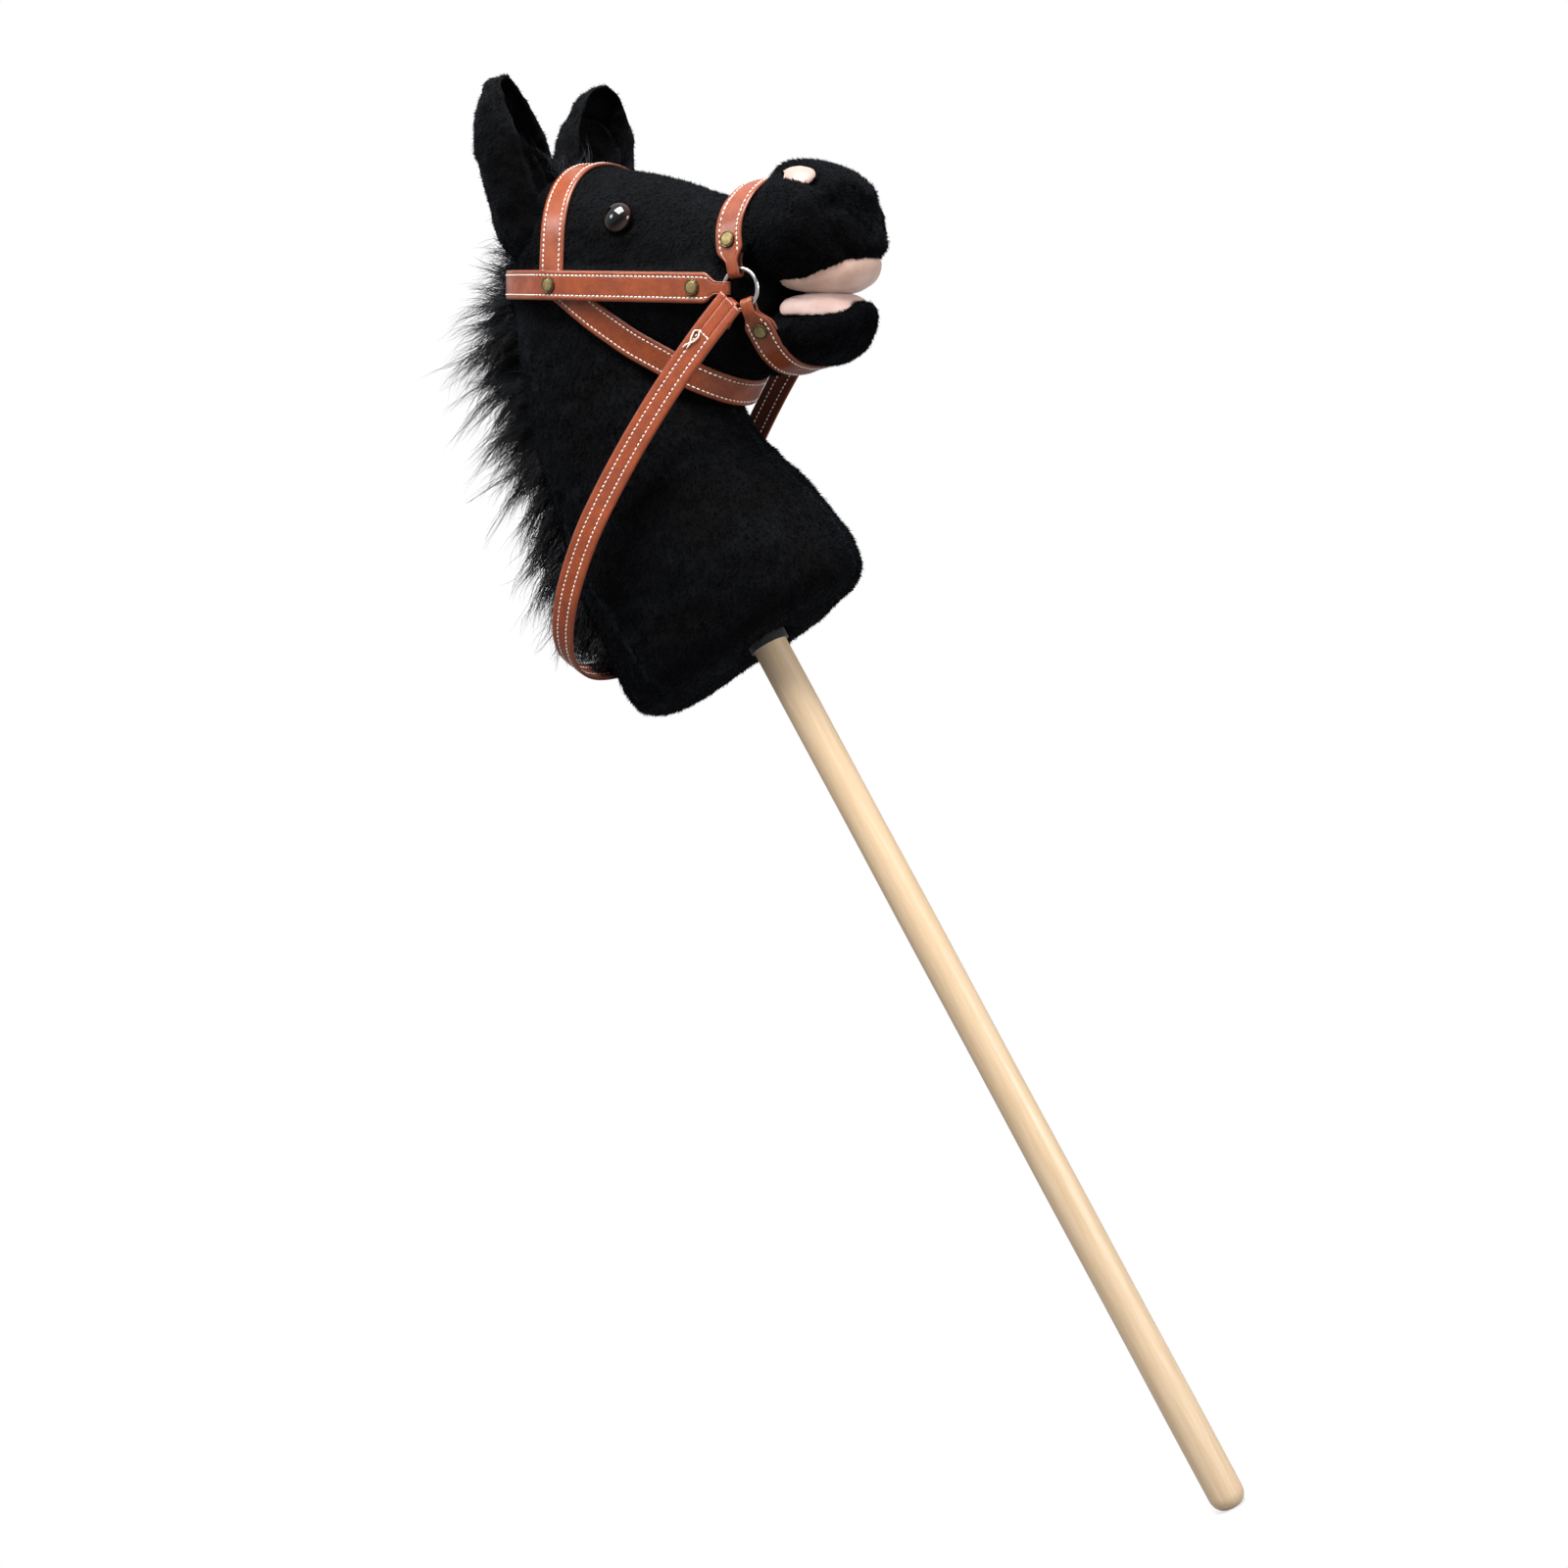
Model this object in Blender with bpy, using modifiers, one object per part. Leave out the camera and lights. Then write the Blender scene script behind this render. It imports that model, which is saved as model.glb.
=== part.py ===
"""Toy stick horse: a stuffed head and neck on a round wooden stick, with a leather bridle and rein.

The stick stands upright on its domed foot at the origin, the nose points along +X and the
horse's left side is +Y. Pieces of the head are modelled in the head frame: u runs forward along
the head, y to the left and v up, with its origin on the line through the two bridle rings.
"""

from math import cos, pi, radians, sin, sqrt

import bmesh
import bpy
import numpy as np
from mathutils import Matrix, Vector
from mathutils.bvhtree import BVHTree

# Wooden stick
STICK_DIAMETER = 0.022
STICK_BELOW_NECK = 0.585
STICK_IN_NECK = 0.150
STICK_FOOT_FLAT = 0.008
STICK_FOOT_DOME = 0.009
STICK_TOP_ROUND = 0.002
SLEEVE_THICKNESS = 0.0015
SLEEVE_LENGTH = 0.110
CAP_WALL = 0.002
CAP_DEPTH = 0.022
CAP_CHAMFER = 0.001

# Stuffed neck, upright over its flat base panel
NECK_HEIGHT = 0.292
NECK_DEPTH = 0.194
NECK_WIDTH = 0.104
NECK_SET_BACK = 0.0145
BASE_PANEL_THICKNESS = 0.0025
BASE_PANEL_INSET = 0.002
NECK_CROWN = 0.08

# Stuffed head, pitched nose down on the neck. Its back end, the poll, lies behind the stick's
# line and below the neck's crown, and its front end lies past the rings.
HEAD_PITCH = radians(33.4)
POLL_BACK = 0.03303
POLL_DROP = 0.01146
HEAD_LENGTH = 0.209
HEAD_FRONT = 0.016
HEAD_WIDTH = 0.100
MUZZLE_LENGTH = 0.081
MUZZLE_WIDTH = 0.102
MUZZLE_BACK = 0.016
JAW_LENGTH = 0.074
JAW_WIDTH = 0.074
JAW_BACK = 0.012
LINING_LENGTH = 0.055
LINING_WIDTH = 0.070
LINING_BACK = -0.009

# Ears
EAR_HEIGHT = 0.094
EAR_RADIUS = 0.0250
EAR_THICKNESS = 0.005
EAR_LINING_THICKNESS = 0.0015
EAR_LINING_REACH = 0.82
EAR_TURN = 0.25
EAR_FROM_POLL = 0.0260
EAR_APART = 0.057
EAR_RISE = 0.036
EAR_TIP_LEAN = (-0.008, 0.0165)

# Mane and forelock
MANE_WIDTH = 0.026
MANE_RISE = 0.036
MANE_ROOT = 0.012
MANE_SPAN = (0.34, 0.045)
FORELOCK_SIZE = (0.034, 0.012, 0.040)
FORELOCK_FROM_POLL = 0.023
FORELOCK_HEIGHT = 0.080

# Eyes
EYE_DIAMETER = 0.018
EYE_FLANGE = 0.0008
EYE_RISE = 0.0062
EYE_FROM_POLL = 0.103
EYE_HEIGHT = 0.0426
EYE_SHANK = 0.004
EYE_SHANK_LENGTH = 0.014
WASHER_DIAMETER = 0.015
WASHER_THICKNESS = 0.0016
WASHER_DEPTH = 0.008

# Nostril linings
NOSTRIL_SIZE = (0.028, 0.014, 0.008)
NOSTRIL_PLACE = (0.026, 0.031)
NOSTRIL_SINK = 0.0015
NOSTRIL_LEAN = 0.8

# Bridle leather, rings and rivets
STRAP_WIDTH = 0.018
STRAP_THICKNESS = 0.0018
STRAP_NECK_WIDTH = 0.0078
STRAP_SEAT = 0.0006
LAYER_GAP = 0.0004
RING_DIAMETER = 0.026
RING_WIRE = 0.0026
RIVET_DIAMETER = 0.010
RIVET_RISE = 0.0014
RIVET_SHANK = 0.003
RIVET_HOLE = 0.0038
HOLE_ROOM = 0.002
REIN_SAG = 0.014
REIN_REST_HEIGHT = 0.048
REIN_CLEARANCE = 0.0015
REIN_LEAN = radians(38.0)
REIN_CLOSING = 0.105
REIN_POWER = 3.0
REIN_LEAD = 0.004
REIN_LOOP_LENGTH = 0.013

# Fits and mesh fineness
GAP = 0.0003
CUT_PAST = 0.020
OUTSIDE_SHARE = 0.43
SEWN_GAP = 0.00035
ROUND_SIDES = 24
RIVET_SIDES = 12
SOFT_SIDES = 24
STEP = 0.008
LINE_SLACK = 0.00012
RAY_STEP = 0.0015
RAY_TURNS = 36
RAYS_ACROSS = 11
FOLD_REACH = 0.0035
FOLD_EASE = 0.0001

# Directions of the four strap ends round a ring, seen from the horse's right side
CHEEK_ANGLE = radians(177.0)
NOSE_ANGLE = radians(107.0)
CHIN_ANGLE = radians(300.0)
REIN_ANGLE = radians(237.5)

# Distances of the rivets along their straps from the wire of the ring
CHEEK_RIVET = 0.0200
NOSE_RIVET = 0.0175
CHIN_RIVET = 0.0150

# Where the brow strap crosses the crown strap, and where the throat and crown straps turn
BROW_FROM_POLL = 0.0568
BROW_HEIGHT = 0.0037
THROAT_START = (0.004, -0.001)
THROAT_TURN_FROM_POLL = 0.1296
THROAT_TURN_HEIGHT = -0.0381
CROWN_TURN_FROM_POLL = 0.071

COLOURS = {
    "plush": ((0.012, 0.012, 0.014), 0.95, 0.0),
    "mane": ((0.008, 0.008, 0.009), 0.80, 0.0),
    "satin": ((0.76, 0.52, 0.43), 0.45, 0.0),
    "leather": ((0.33, 0.085, 0.035), 0.50, 0.0),
    "nickel": ((0.75, 0.73, 0.70), 0.22, 1.0),
    "brass": ((0.36, 0.27, 0.12), 0.38, 1.0),
    "eye": ((0.010, 0.007, 0.006), 0.05, 0.0),
    "plastic": ((0.80, 0.80, 0.78), 0.50, 0.0),
    "birch": ((0.80, 0.60, 0.38), 0.48, 0.0),
    "cotton": ((0.60, 0.57, 0.52), 0.90, 0.0),
}

# Section tables, each read on a smooth curve through its rows
# Neck: share of height, back and front as shares of its depth, share of its width
NECK_SECTIONS = (
    (0.000, -0.460, 0.460, 0.80),
    (0.014, -0.484, 0.486, 0.91),
    (0.048, -0.500, 0.500, 0.98),
    (0.103, -0.494, 0.502, 1.00),
    (0.199, -0.480, 0.480, 1.00),
    (0.353, -0.452, 0.414, 0.97),
    (0.432, -0.424, 0.397, 0.95),
    (0.520, -0.390, 0.388, 0.93),
    (0.627, -0.346, 0.376, 0.91),
    (0.719, -0.294, 0.356, 0.88),
    (0.813, -0.232, 0.315, 0.84),
    (0.897, -0.170, 0.253, 0.78),
    (1.000, -0.100, 0.150, 0.70),
)
# Head, muzzle, jaw, palate and tongue: share of length, top and bottom heights, share of width
HEAD_SECTIONS = (
    (0.000, 0.050, -0.002, 0.66),
    (0.070, 0.063, -0.014, 0.82),
    (0.170, 0.0745, -0.026, 0.96),
    (0.350, 0.0775, -0.038, 1.00),
    (0.560, 0.0710, -0.047, 0.99),
    (0.760, 0.0580, -0.054, 0.95),
    (0.860, 0.0540, -0.051, 0.91),
    (0.940, 0.0510, -0.046, 0.86),
    (1.000, 0.0480, -0.040, 0.82),
)
MUZZLE_SECTIONS = (
    (0.00, 0.0480, 0.0080, 0.80),
    (0.18, 0.0590, 0.0020, 0.90),
    (0.38, 0.0727, -0.0015, 0.99),
    (0.53, 0.0715, -0.0010, 1.00),
    (0.69, 0.0665, 0.0040, 0.95),
    (0.83, 0.0570, 0.0120, 0.80),
    (0.94, 0.0440, 0.0150, 0.60),
    (1.00, 0.0360, 0.0200, 0.45),
)
JAW_SECTIONS = (
    (0.00, -0.0060, -0.0440, 0.92),
    (0.28, -0.0080, -0.0410, 1.00),
    (0.48, -0.0085, -0.0432, 0.97),
    (0.62, -0.0085, -0.0432, 0.88),
    (0.83, -0.0090, -0.0376, 0.68),
    (0.94, -0.0100, -0.0300, 0.48),
    (1.00, -0.0120, -0.0240, 0.34),
)
PALATE_SECTIONS = (
    (0.00, 0.0160, 0.0000, 0.96),
    (0.30, 0.0180, -0.0015, 1.00),
    (0.60, 0.0200, -0.0015, 0.86),
    (0.85, 0.0220, 0.0002, 0.58),
    (1.00, 0.0220, 0.0050, 0.34),
)
TONGUE_SECTIONS = (
    (0.00, -0.0050, -0.0200, 0.92),
    (0.30, -0.0042, -0.0210, 0.94),
    (0.60, -0.0044, -0.0210, 0.80),
    (0.85, -0.0068, -0.0190, 0.54),
    (1.00, -0.0100, -0.0170, 0.30),
)
# Ear: share of height, share of the cup's radius, half angle of the cup in degrees
EAR_SECTIONS = (
    (0.00, 0.84, 125.0),
    (0.22, 0.92, 121.0),
    (0.48, 1.00, 114.0),
    (0.70, 0.94, 104.0),
    (0.87, 0.62, 92.0),
    (1.00, 0.18, 75.0),
)

# Sideways bends of the strap routes: distance along the route, shift across it
THROAT_BEND = (
    (0.0, 0.0), (0.012, -0.0010), (0.031, -0.0030), (0.060, -0.0040), (0.090, -0.0020), (0.115, 0.0)
)
NOSE_BEND = ((0.0, 0.0), (0.017, 0.0022), (0.030, 0.0015), (0.043, -0.0035), (0.060, -0.0060))
CHIN_BEND = ((0.0, 0.0), (0.014, 0.0014), (0.027, 0.0000), (0.040, -0.0010))


def clear_scene():
    for item in list(bpy.data.objects):
        bpy.data.objects.remove(item, do_unlink=True)


def make_collection(name):
    group = bpy.data.collections.new(name)
    bpy.context.scene.collection.children.link(group)
    return group


def material_for(name, finish):
    """A Principled material with the piece's own colour, roughness and metallic value."""
    colour, roughness, metallic = COLOURS[finish]
    mat = bpy.data.materials.new(name)
    mat.use_nodes = True
    shader = mat.node_tree.nodes["Principled BSDF"]
    shader.inputs["Base Color"].default_value = (*colour, 1.0)
    shader.inputs["Roughness"].default_value = roughness
    shader.inputs["Metallic"].default_value = metallic
    return mat


clear_scene()
PARTS = make_collection("toy_stick_horse")
CUTTERS = make_collection("cutters")

# How far out from the middle the rays start that find the surface under a strap
OUTSIDE = OUTSIDE_SHARE * HEAD_LENGTH

# The line through the rings, from the neck's crown and the stick
poll_u = HEAD_FRONT - HEAD_LENGTH
ring_forward = -poll_u * cos(HEAD_PITCH) - POLL_BACK
ring_above_base = NECK_HEIGHT + poll_u * sin(HEAD_PITCH) - POLL_DROP

head_frame = bpy.data.objects.new("head_frame", None)
PARTS.objects.link(head_frame)
head_frame.location = (ring_forward, 0.0, STICK_BELOW_NECK + ring_above_base)
head_frame.rotation_euler = (0.0, HEAD_PITCH, 0.0)
neck_frame = bpy.data.objects.new("neck_frame", None)
PARTS.objects.link(neck_frame)
neck_frame.location = (0.0, 0.0, STICK_BELOW_NECK)
bpy.context.view_layer.update()
HEAD_MATRIX = head_frame.matrix_world.copy()
HEAD_INVERSE = HEAD_MATRIX.inverted()


def add_object(name, mesh, finish, parent=None):
    """Link a mesh as a named piece, with its own material, under a parent empty."""
    item = bpy.data.objects.new(name, mesh)
    mesh.name = name
    if finish:
        mesh.materials.append(material_for(name, finish))
    PARTS.objects.link(item)
    item.parent = parent
    return item


def take_last_primitive(name, finish, parent=None):
    """Turn the primitive that was just added into a named piece."""
    item = bpy.context.active_object
    item.name = name
    item.data.name = name
    if finish:
        item.data.materials.append(material_for(name, finish))
    for group in list(item.users_collection):
        group.objects.unlink(item)
    PARTS.objects.link(item)
    item.parent = parent
    return item


def make_cutter(item):
    for group in list(item.users_collection):
        group.objects.unlink(item)
    CUTTERS.objects.link(item)
    item.hide_render = True
    item.display_type = "WIRE"
    return item


def cut(item, cutter):
    step = item.modifiers.new("cut by " + cutter.name, "BOOLEAN")
    step.operation = "DIFFERENCE"
    step.solver = "EXACT"
    step.object = cutter


def evaluated_mesh(item):
    """A plain copy of a piece's finished mesh, in its own coordinates."""
    graph = bpy.context.evaluated_depsgraph_get()
    graph.update()
    return bpy.data.meshes.new_from_object(item.evaluated_get(graph))


def grown_copy(item, amount=GAP):
    """A cutter that follows a finished piece, a little larger all round."""
    mesh = evaluated_mesh(item)
    mesh.materials.clear()
    work = bmesh.new()
    work.from_mesh(mesh)
    bmesh.ops.remove_doubles(work, verts=work.verts, dist=0.00002)
    work.to_mesh(mesh)
    work.free()
    copy = bpy.data.objects.new(item.name + "_grown", mesh)
    PARTS.objects.link(copy)
    copy.parent = item.parent
    copy.location = item.location
    copy.rotation_euler = item.rotation_euler
    grow = copy.modifiers.new("grow", "DISPLACE")
    grow.strength = amount
    grow.mid_level = 0.0
    return make_cutter(copy)


def smooth_table(table, share):
    """Read a section table at a share of its length, on a smooth curve through its rows."""
    rows = np.array(table)
    place = rows[:, 0]
    share = min(max(share, place[0]), place[-1])
    k = int(np.clip(np.searchsorted(place, share) - 1, 0, len(place) - 2))
    slope = np.gradient(rows[:, 1:], place, axis=0)
    width = place[k + 1] - place[k]
    t = (share - place[k]) / width
    a, b = rows[k, 1:], rows[k + 1, 1:]
    return (
        (2 * t**3 - 3 * t**2 + 1) * a
        + (t**3 - 2 * t**2 + t) * width * slope[k]
        + (-2 * t**3 + 3 * t**2) * b
        + (t**3 - t**2) * width * slope[k + 1]
    )


def oval(half_a, half_b, power, count):
    """Points of a superellipse: cos and sin of an even angle, each to the power 2/power."""
    angle = np.linspace(0.0, 2.0 * pi, count, endpoint=False)
    c, s = np.cos(angle), np.sin(angle)
    bend = 2.0 / power
    return half_a * np.sign(c) * np.abs(c) ** bend, half_b * np.sign(s) * np.abs(s) ** bend


def skin_rings(rings, start_pole=None, end_pole=None):
    """Join rings of equal length with quads, and close each end with a fan or one face."""
    work = bmesh.new()
    rows = [[work.verts.new(Vector(p)) for p in ring] for ring in rings]
    count = len(rows[0])
    for a, b in zip(rows, rows[1:]):
        for i in range(count):
            j = (i + 1) % count
            work.faces.new((a[i], a[j], b[j], b[i]))
    for row, pole, turn in ((rows[0], start_pole, True), (rows[-1], end_pole, False)):
        if pole is None:
            work.faces.new(list(reversed(row)) if turn else row)
            continue
        tip = work.verts.new(Vector(pole))
        for i in range(count):
            j = (i + 1) % count
            work.faces.new((row[j], row[i], tip) if turn else (row[i], row[j], tip))
    bmesh.ops.recalc_face_normals(work, faces=work.faces)
    mesh = bpy.data.meshes.new("loft")
    work.to_mesh(mesh)
    work.free()
    mesh.shade_smooth()
    return mesh


def head_form(table, length, width, back, cap_back, cap_front, power=2.3, rows=13):
    """A stuffed form along u. Each section is an oval between its top and bottom heights.

    Near each end the sections shrink along a quarter circle, so the form closes like a cushion.
    """
    start_share = cap_back / length
    end_share = cap_front / length
    arc = [1.0 - cos(k * pi / 10.0) for k in range(1, 5)]
    shares = [start_share * a for a in arc]
    shares += list(np.linspace(start_share, 1.0 - end_share, rows))
    shares += [1.0 - end_share * a for a in reversed(arc)]
    rings = []
    for share in shares:
        top, bottom, wide = smooth_table(table, share)
        shrink = 1.0
        for near, cap in ((share, start_share), (1.0 - share, end_share)):
            if near < cap:
                shrink = min(shrink, sqrt(1.0 - (1.0 - near / cap) ** 2))
        half = 0.5 * (top - bottom) * shrink
        ys, vs = oval(0.5 * width * wide * shrink, half, power, SOFT_SIDES)
        u = share * length - back
        rings.append([(u, y, 0.5 * (top + bottom) + v) for y, v in zip(ys, vs)])
    first, last = smooth_table(table, 0.0), smooth_table(table, 1.0)
    tail = (-back, 0.0, 0.5 * (first[0] + first[1]))
    nose = (length - back, 0.0, 0.5 * (last[0] + last[1]))
    return skin_rings(rings, tail, nose)


def neck_form():
    """The neck along z: an oval between its back and front lines, flat below, domed on top."""
    shares = [row[0] for row in NECK_SECTIONS[:4]]
    shares += list(np.linspace(NECK_SECTIONS[3][0], 1.0 - NECK_CROWN, 12))[1:]
    shares += [1.0 - NECK_CROWN + NECK_CROWN * sin(k * pi / 10.0) for k in range(1, 5)]
    rings = []
    for share in shares:
        back, front, wide = smooth_table(NECK_SECTIONS, share)
        shrink = sqrt(1.0 - (max(0.0, share - 1.0 + NECK_CROWN) / NECK_CROWN) ** 2)
        middle = 0.5 * (back + front) * NECK_DEPTH - NECK_SET_BACK
        half = 0.5 * (front - back) * NECK_DEPTH * shrink
        xs, ys = oval(half, 0.5 * NECK_WIDTH * wide * shrink, 2.3, SOFT_SIDES)
        z = BASE_PANEL_THICKNESS + GAP + share * NECK_HEIGHT
        rings.append([(middle + x, y, z) for x, y in zip(xs, ys)])
    back, front, _ = smooth_table(NECK_SECTIONS, 1.0)
    middle = 0.5 * (back + front) * NECK_DEPTH - NECK_SET_BACK
    return skin_rings(rings, None, (middle, 0.0, BASE_PANEL_THICKNESS + GAP + NECK_HEIGHT))


def turned(name, profile, finish, parent=None, sides=ROUND_SIDES):
    """A turned piece: an outer profile at +X, given top to bottom, carried round Z."""
    mesh = bpy.data.meshes.new(name)
    points = [(r, 0.0, z) for r, z in profile]
    edges = [(i, i + 1) for i in range(len(points) - 1)]
    if points[0] == points[-1]:
        points.pop()
        edges[-1] = (len(points) - 1, 0)
    mesh.from_pydata(points, edges, [])
    item = add_object(name, mesh, finish, parent)
    screw = item.modifiers.new("turn", "SCREW")
    screw.axis = "Z"
    screw.angle = 2.0 * pi
    screw.steps = sides
    screw.render_steps = sides
    screw.use_merge_vertices = True
    screw.merge_threshold = 0.00001
    screw.use_smooth_shade = True
    return item


def cylinder_cutter(name, radius, z0, z1, parent=None, sides=ROUND_SIDES):
    bpy.ops.mesh.primitive_cylinder_add(vertices=sides, radius=radius, depth=z1 - z0)
    item = take_last_primitive(name, None, parent)
    item.data.transform(Matrix.Translation((0.0, 0.0, 0.5 * (z0 + z1))))
    return make_cutter(item)


def to_head(point):
    return HEAD_INVERSE @ Vector(point)


def surface_tree(items):
    """A search tree over finished pieces, with every point in the head frame."""
    points, faces = [], []
    for item in items:
        mesh = evaluated_mesh(item)
        place = HEAD_INVERSE @ item.matrix_world
        start = len(points)
        points += [place @ v.co for v in mesh.vertices]
        faces += [[start + i for i in p.vertices] for p in mesh.polygons]
        bpy.data.meshes.remove(mesh)
    return BVHTree.FromPolygons(points, faces), np.array(points)


# Stick, sleeve and end cap
stick_radius = 0.5 * STICK_DIAMETER
sleeve_inner = stick_radius + GAP
sleeve_outer = sleeve_inner + SLEEVE_THICKNESS
cap_outer = stick_radius + GAP + CAP_WALL
bore_radius = max(sleeve_outer, cap_outer) + GAP
stick_top = STICK_BELOW_NECK + STICK_IN_NECK


def build_stick():
    """A dowel with a domed foot that ends in a small flat, and a lightly rounded top."""
    profile = [(0.0, stick_top), (stick_radius - STICK_TOP_ROUND, stick_top)]
    profile += [(stick_radius, stick_top - STICK_TOP_ROUND)]
    flat = 0.5 * STICK_FOOT_FLAT
    for k in range(6):
        angle = k * pi / 10.0
        radius = flat + (stick_radius - flat) * cos(angle)
        profile.append((radius, STICK_FOOT_DOME * (1.0 - sin(angle))))
    profile.append((0.0, 0.0))
    turned("stick", profile, "birch")


def build_stick_fittings():
    """A sewn sleeve round the stick at the base, and a cap over the stick's top end."""
    z0, z1 = GAP, SLEEVE_LENGTH
    inner, outer = sleeve_inner, sleeve_outer
    profile = [(outer, z1), (outer, z0), (inner, z0), (inner, z1), (outer, z1)]
    turned("stick_sleeve", profile, "cotton", neck_frame)
    seat = STICK_IN_NECK + GAP
    rim = seat - CAP_DEPTH
    inside = stick_radius + GAP
    top = seat + CAP_WALL
    profile = [(0.0, top), (cap_outer - CAP_CHAMFER, top), (cap_outer, top - CAP_CHAMFER), (cap_outer, rim)]
    profile += [(inside, rim), (inside, seat), (0.0, seat)]
    turned("stick_cap", profile, "plastic", neck_frame)


def build_neck():
    neck = add_object("neck", neck_form(), "plush", neck_frame)
    bore_top = STICK_IN_NECK + 2.0 * GAP + CAP_WALL
    bore = cylinder_cutter("neck_bore", bore_radius, -CUT_PAST, bore_top, neck_frame)
    cut(neck, bore)
    back, front, wide = smooth_table(NECK_SECTIONS, 0.0)
    half_depth = 0.5 * (front - back) * NECK_DEPTH - BASE_PANEL_INSET
    half_width = 0.5 * wide * NECK_WIDTH - BASE_PANEL_INSET
    xs, ys = oval(half_depth, half_width, 2.3, SOFT_SIDES)
    middle = 0.5 * (back + front) * NECK_DEPTH - NECK_SET_BACK
    rings = [
        [(middle + x, y, z) for x, y in zip(xs, ys)] for z in (0.0, BASE_PANEL_THICKNESS)
    ]
    panel = add_object("neck_base_panel", skin_rings(rings), "plush", neck_frame)
    cut(panel, cylinder_cutter("panel_hole", sleeve_outer + GAP, -CUT_PAST, CUT_PAST, neck_frame))
    return neck


build_stick()
build_stick_fittings()
neck = build_neck()
neck_grown = grown_copy(add_object("neck_plain", neck_form(), None, neck_frame), SEWN_GAP)
bpy.data.objects.remove(bpy.data.objects["neck_plain"], do_unlink=True)

# Head, muzzle, jaw and mouth linings
head = add_object(
    "head",
    head_form(HEAD_SECTIONS, HEAD_LENGTH, HEAD_WIDTH, -poll_u, 0.020, 0.020, rows=15),
    "plush",
    head_frame,
)
head_whole = grown_copy(head, SEWN_GAP)
cut(head, neck_grown)
upper_muzzle = add_object(
    "upper_muzzle",
    head_form(MUZZLE_SECTIONS, MUZZLE_LENGTH, MUZZLE_WIDTH, MUZZLE_BACK, 0.012, 0.030, 2.2),
    "plush",
    head_frame,
)
cut(upper_muzzle, head_whole)
muzzle_grown = grown_copy(upper_muzzle, SEWN_GAP)
lower_jaw = add_object(
    "lower_jaw",
    head_form(JAW_SECTIONS, JAW_LENGTH, JAW_WIDTH, JAW_BACK, 0.010, 0.022, 2.4),
    "plush",
    head_frame,
)
cut(lower_jaw, head_whole)
cut(lower_jaw, muzzle_grown)
jaw_grown = grown_copy(lower_jaw, SEWN_GAP)
palate_lining = add_object(
    "palate_lining",
    head_form(PALATE_SECTIONS, LINING_LENGTH, LINING_WIDTH, LINING_BACK, 0.008, 0.012, 2.6, 6),
    "satin",
    head_frame,
)
tongue_lining = add_object(
    "tongue_lining",
    head_form(TONGUE_SECTIONS, LINING_LENGTH - 0.003, LINING_WIDTH, LINING_BACK, 0.008, 0.012, 2.6, 6),
    "satin",
    head_frame,
)
for lining in (palate_lining, tongue_lining):
    for cutter in (head_whole, muzzle_grown, jaw_grown):
        cut(lining, cutter)


def ear_surface(name, side, inset, reach, finish, thickness):
    """A cupped leaf: arcs round an upright line, open to the front, closing to a tip.

    The arc's radius and angle come from the ear table. A lining is the same leaf set in by
    `inset`, which stops at `reach` of the ear's height with its own rounded tip.
    """
    rows, columns = 10, 10
    points = []
    for i in range(rows + 1):
        rise = sin(0.5 * pi * i / rows)
        share = reach * rise
        scale, spread = smooth_table(EAR_SECTIONS, share)
        if inset:
            spread *= 0.90 * sqrt(1.0 - 0.97 * rise**4)
        radius = EAR_RADIUS * scale - inset
        u0 = poll_u + EAR_FROM_POLL + EAR_TIP_LEAN[0] * share
        y0 = 0.5 * EAR_APART + EAR_TIP_LEAN[1] * share
        v0 = EAR_RISE + EAR_HEIGHT * share
        for j in range(columns + 1):
            angle = radians(spread) * (2.0 * j / columns - 1.0) + pi - EAR_TURN
            points.append((u0 + radius * cos(angle), side * (y0 + radius * sin(angle)), v0))
    wide = columns + 1
    faces = [
        (i * wide + j, i * wide + j + 1, (i + 1) * wide + j + 1, (i + 1) * wide + j)
        for i in range(rows)
        for j in range(columns)
    ]
    mesh = bpy.data.meshes.new(name)
    mesh.from_pydata(points, [], faces)
    mesh.shade_smooth()
    item = add_object(name, mesh, finish, head_frame)
    shell = item.modifiers.new("wall", "SOLIDIFY")
    shell.thickness = thickness
    shell.offset = 0.0
    shell.use_rim = True
    return item


def build_ears():
    ears = []
    inset = 0.5 * EAR_THICKNESS + 0.5 * EAR_LINING_THICKNESS + 3.0 * GAP
    for side, word in ((-1.0, "right"), (1.0, "left")):
        ear = ear_surface("ear_" + word, side, 0.0, 1.0, "plush", EAR_THICKNESS)
        lining = ear_surface(
            "ear_lining_" + word, side, inset, EAR_LINING_REACH, "plush", EAR_LINING_THICKNESS
        )
        for item in (ear, lining):
            cut(item, head_whole)
            cut(item, neck_grown)
        ears += [ear, lining]
    return ears


ears = build_ears()
soft_parts = [neck, head, upper_muzzle, lower_jaw, palate_lining, tongue_lining]


def side_depth(tree, u, v):
    """Where a line from the horse's right side meets the model, as a distance from its middle."""
    hit = tree.ray_cast(Vector((u, -OUTSIDE, v)), Vector((0.0, 1.0, 0.0)))
    return -hit[0].y if hit[0] is not None else 0.0


def ring_plane(tree):
    """How far out a ring lies: over the soft forms, one strap layer and its own wire."""
    reach = 0.5 * RING_DIAMETER + 0.003
    depth = 0.0
    for k in range(24):
        angle = k * pi / 12.0
        for share in (0.35, 0.7, 1.0):
            depth = max(depth, side_depth(tree, reach * share * cos(angle), reach * share * sin(angle)))
    return depth + STRAP_SEAT + STRAP_THICKNESS + GAP + 0.5 * RING_WIRE


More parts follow.
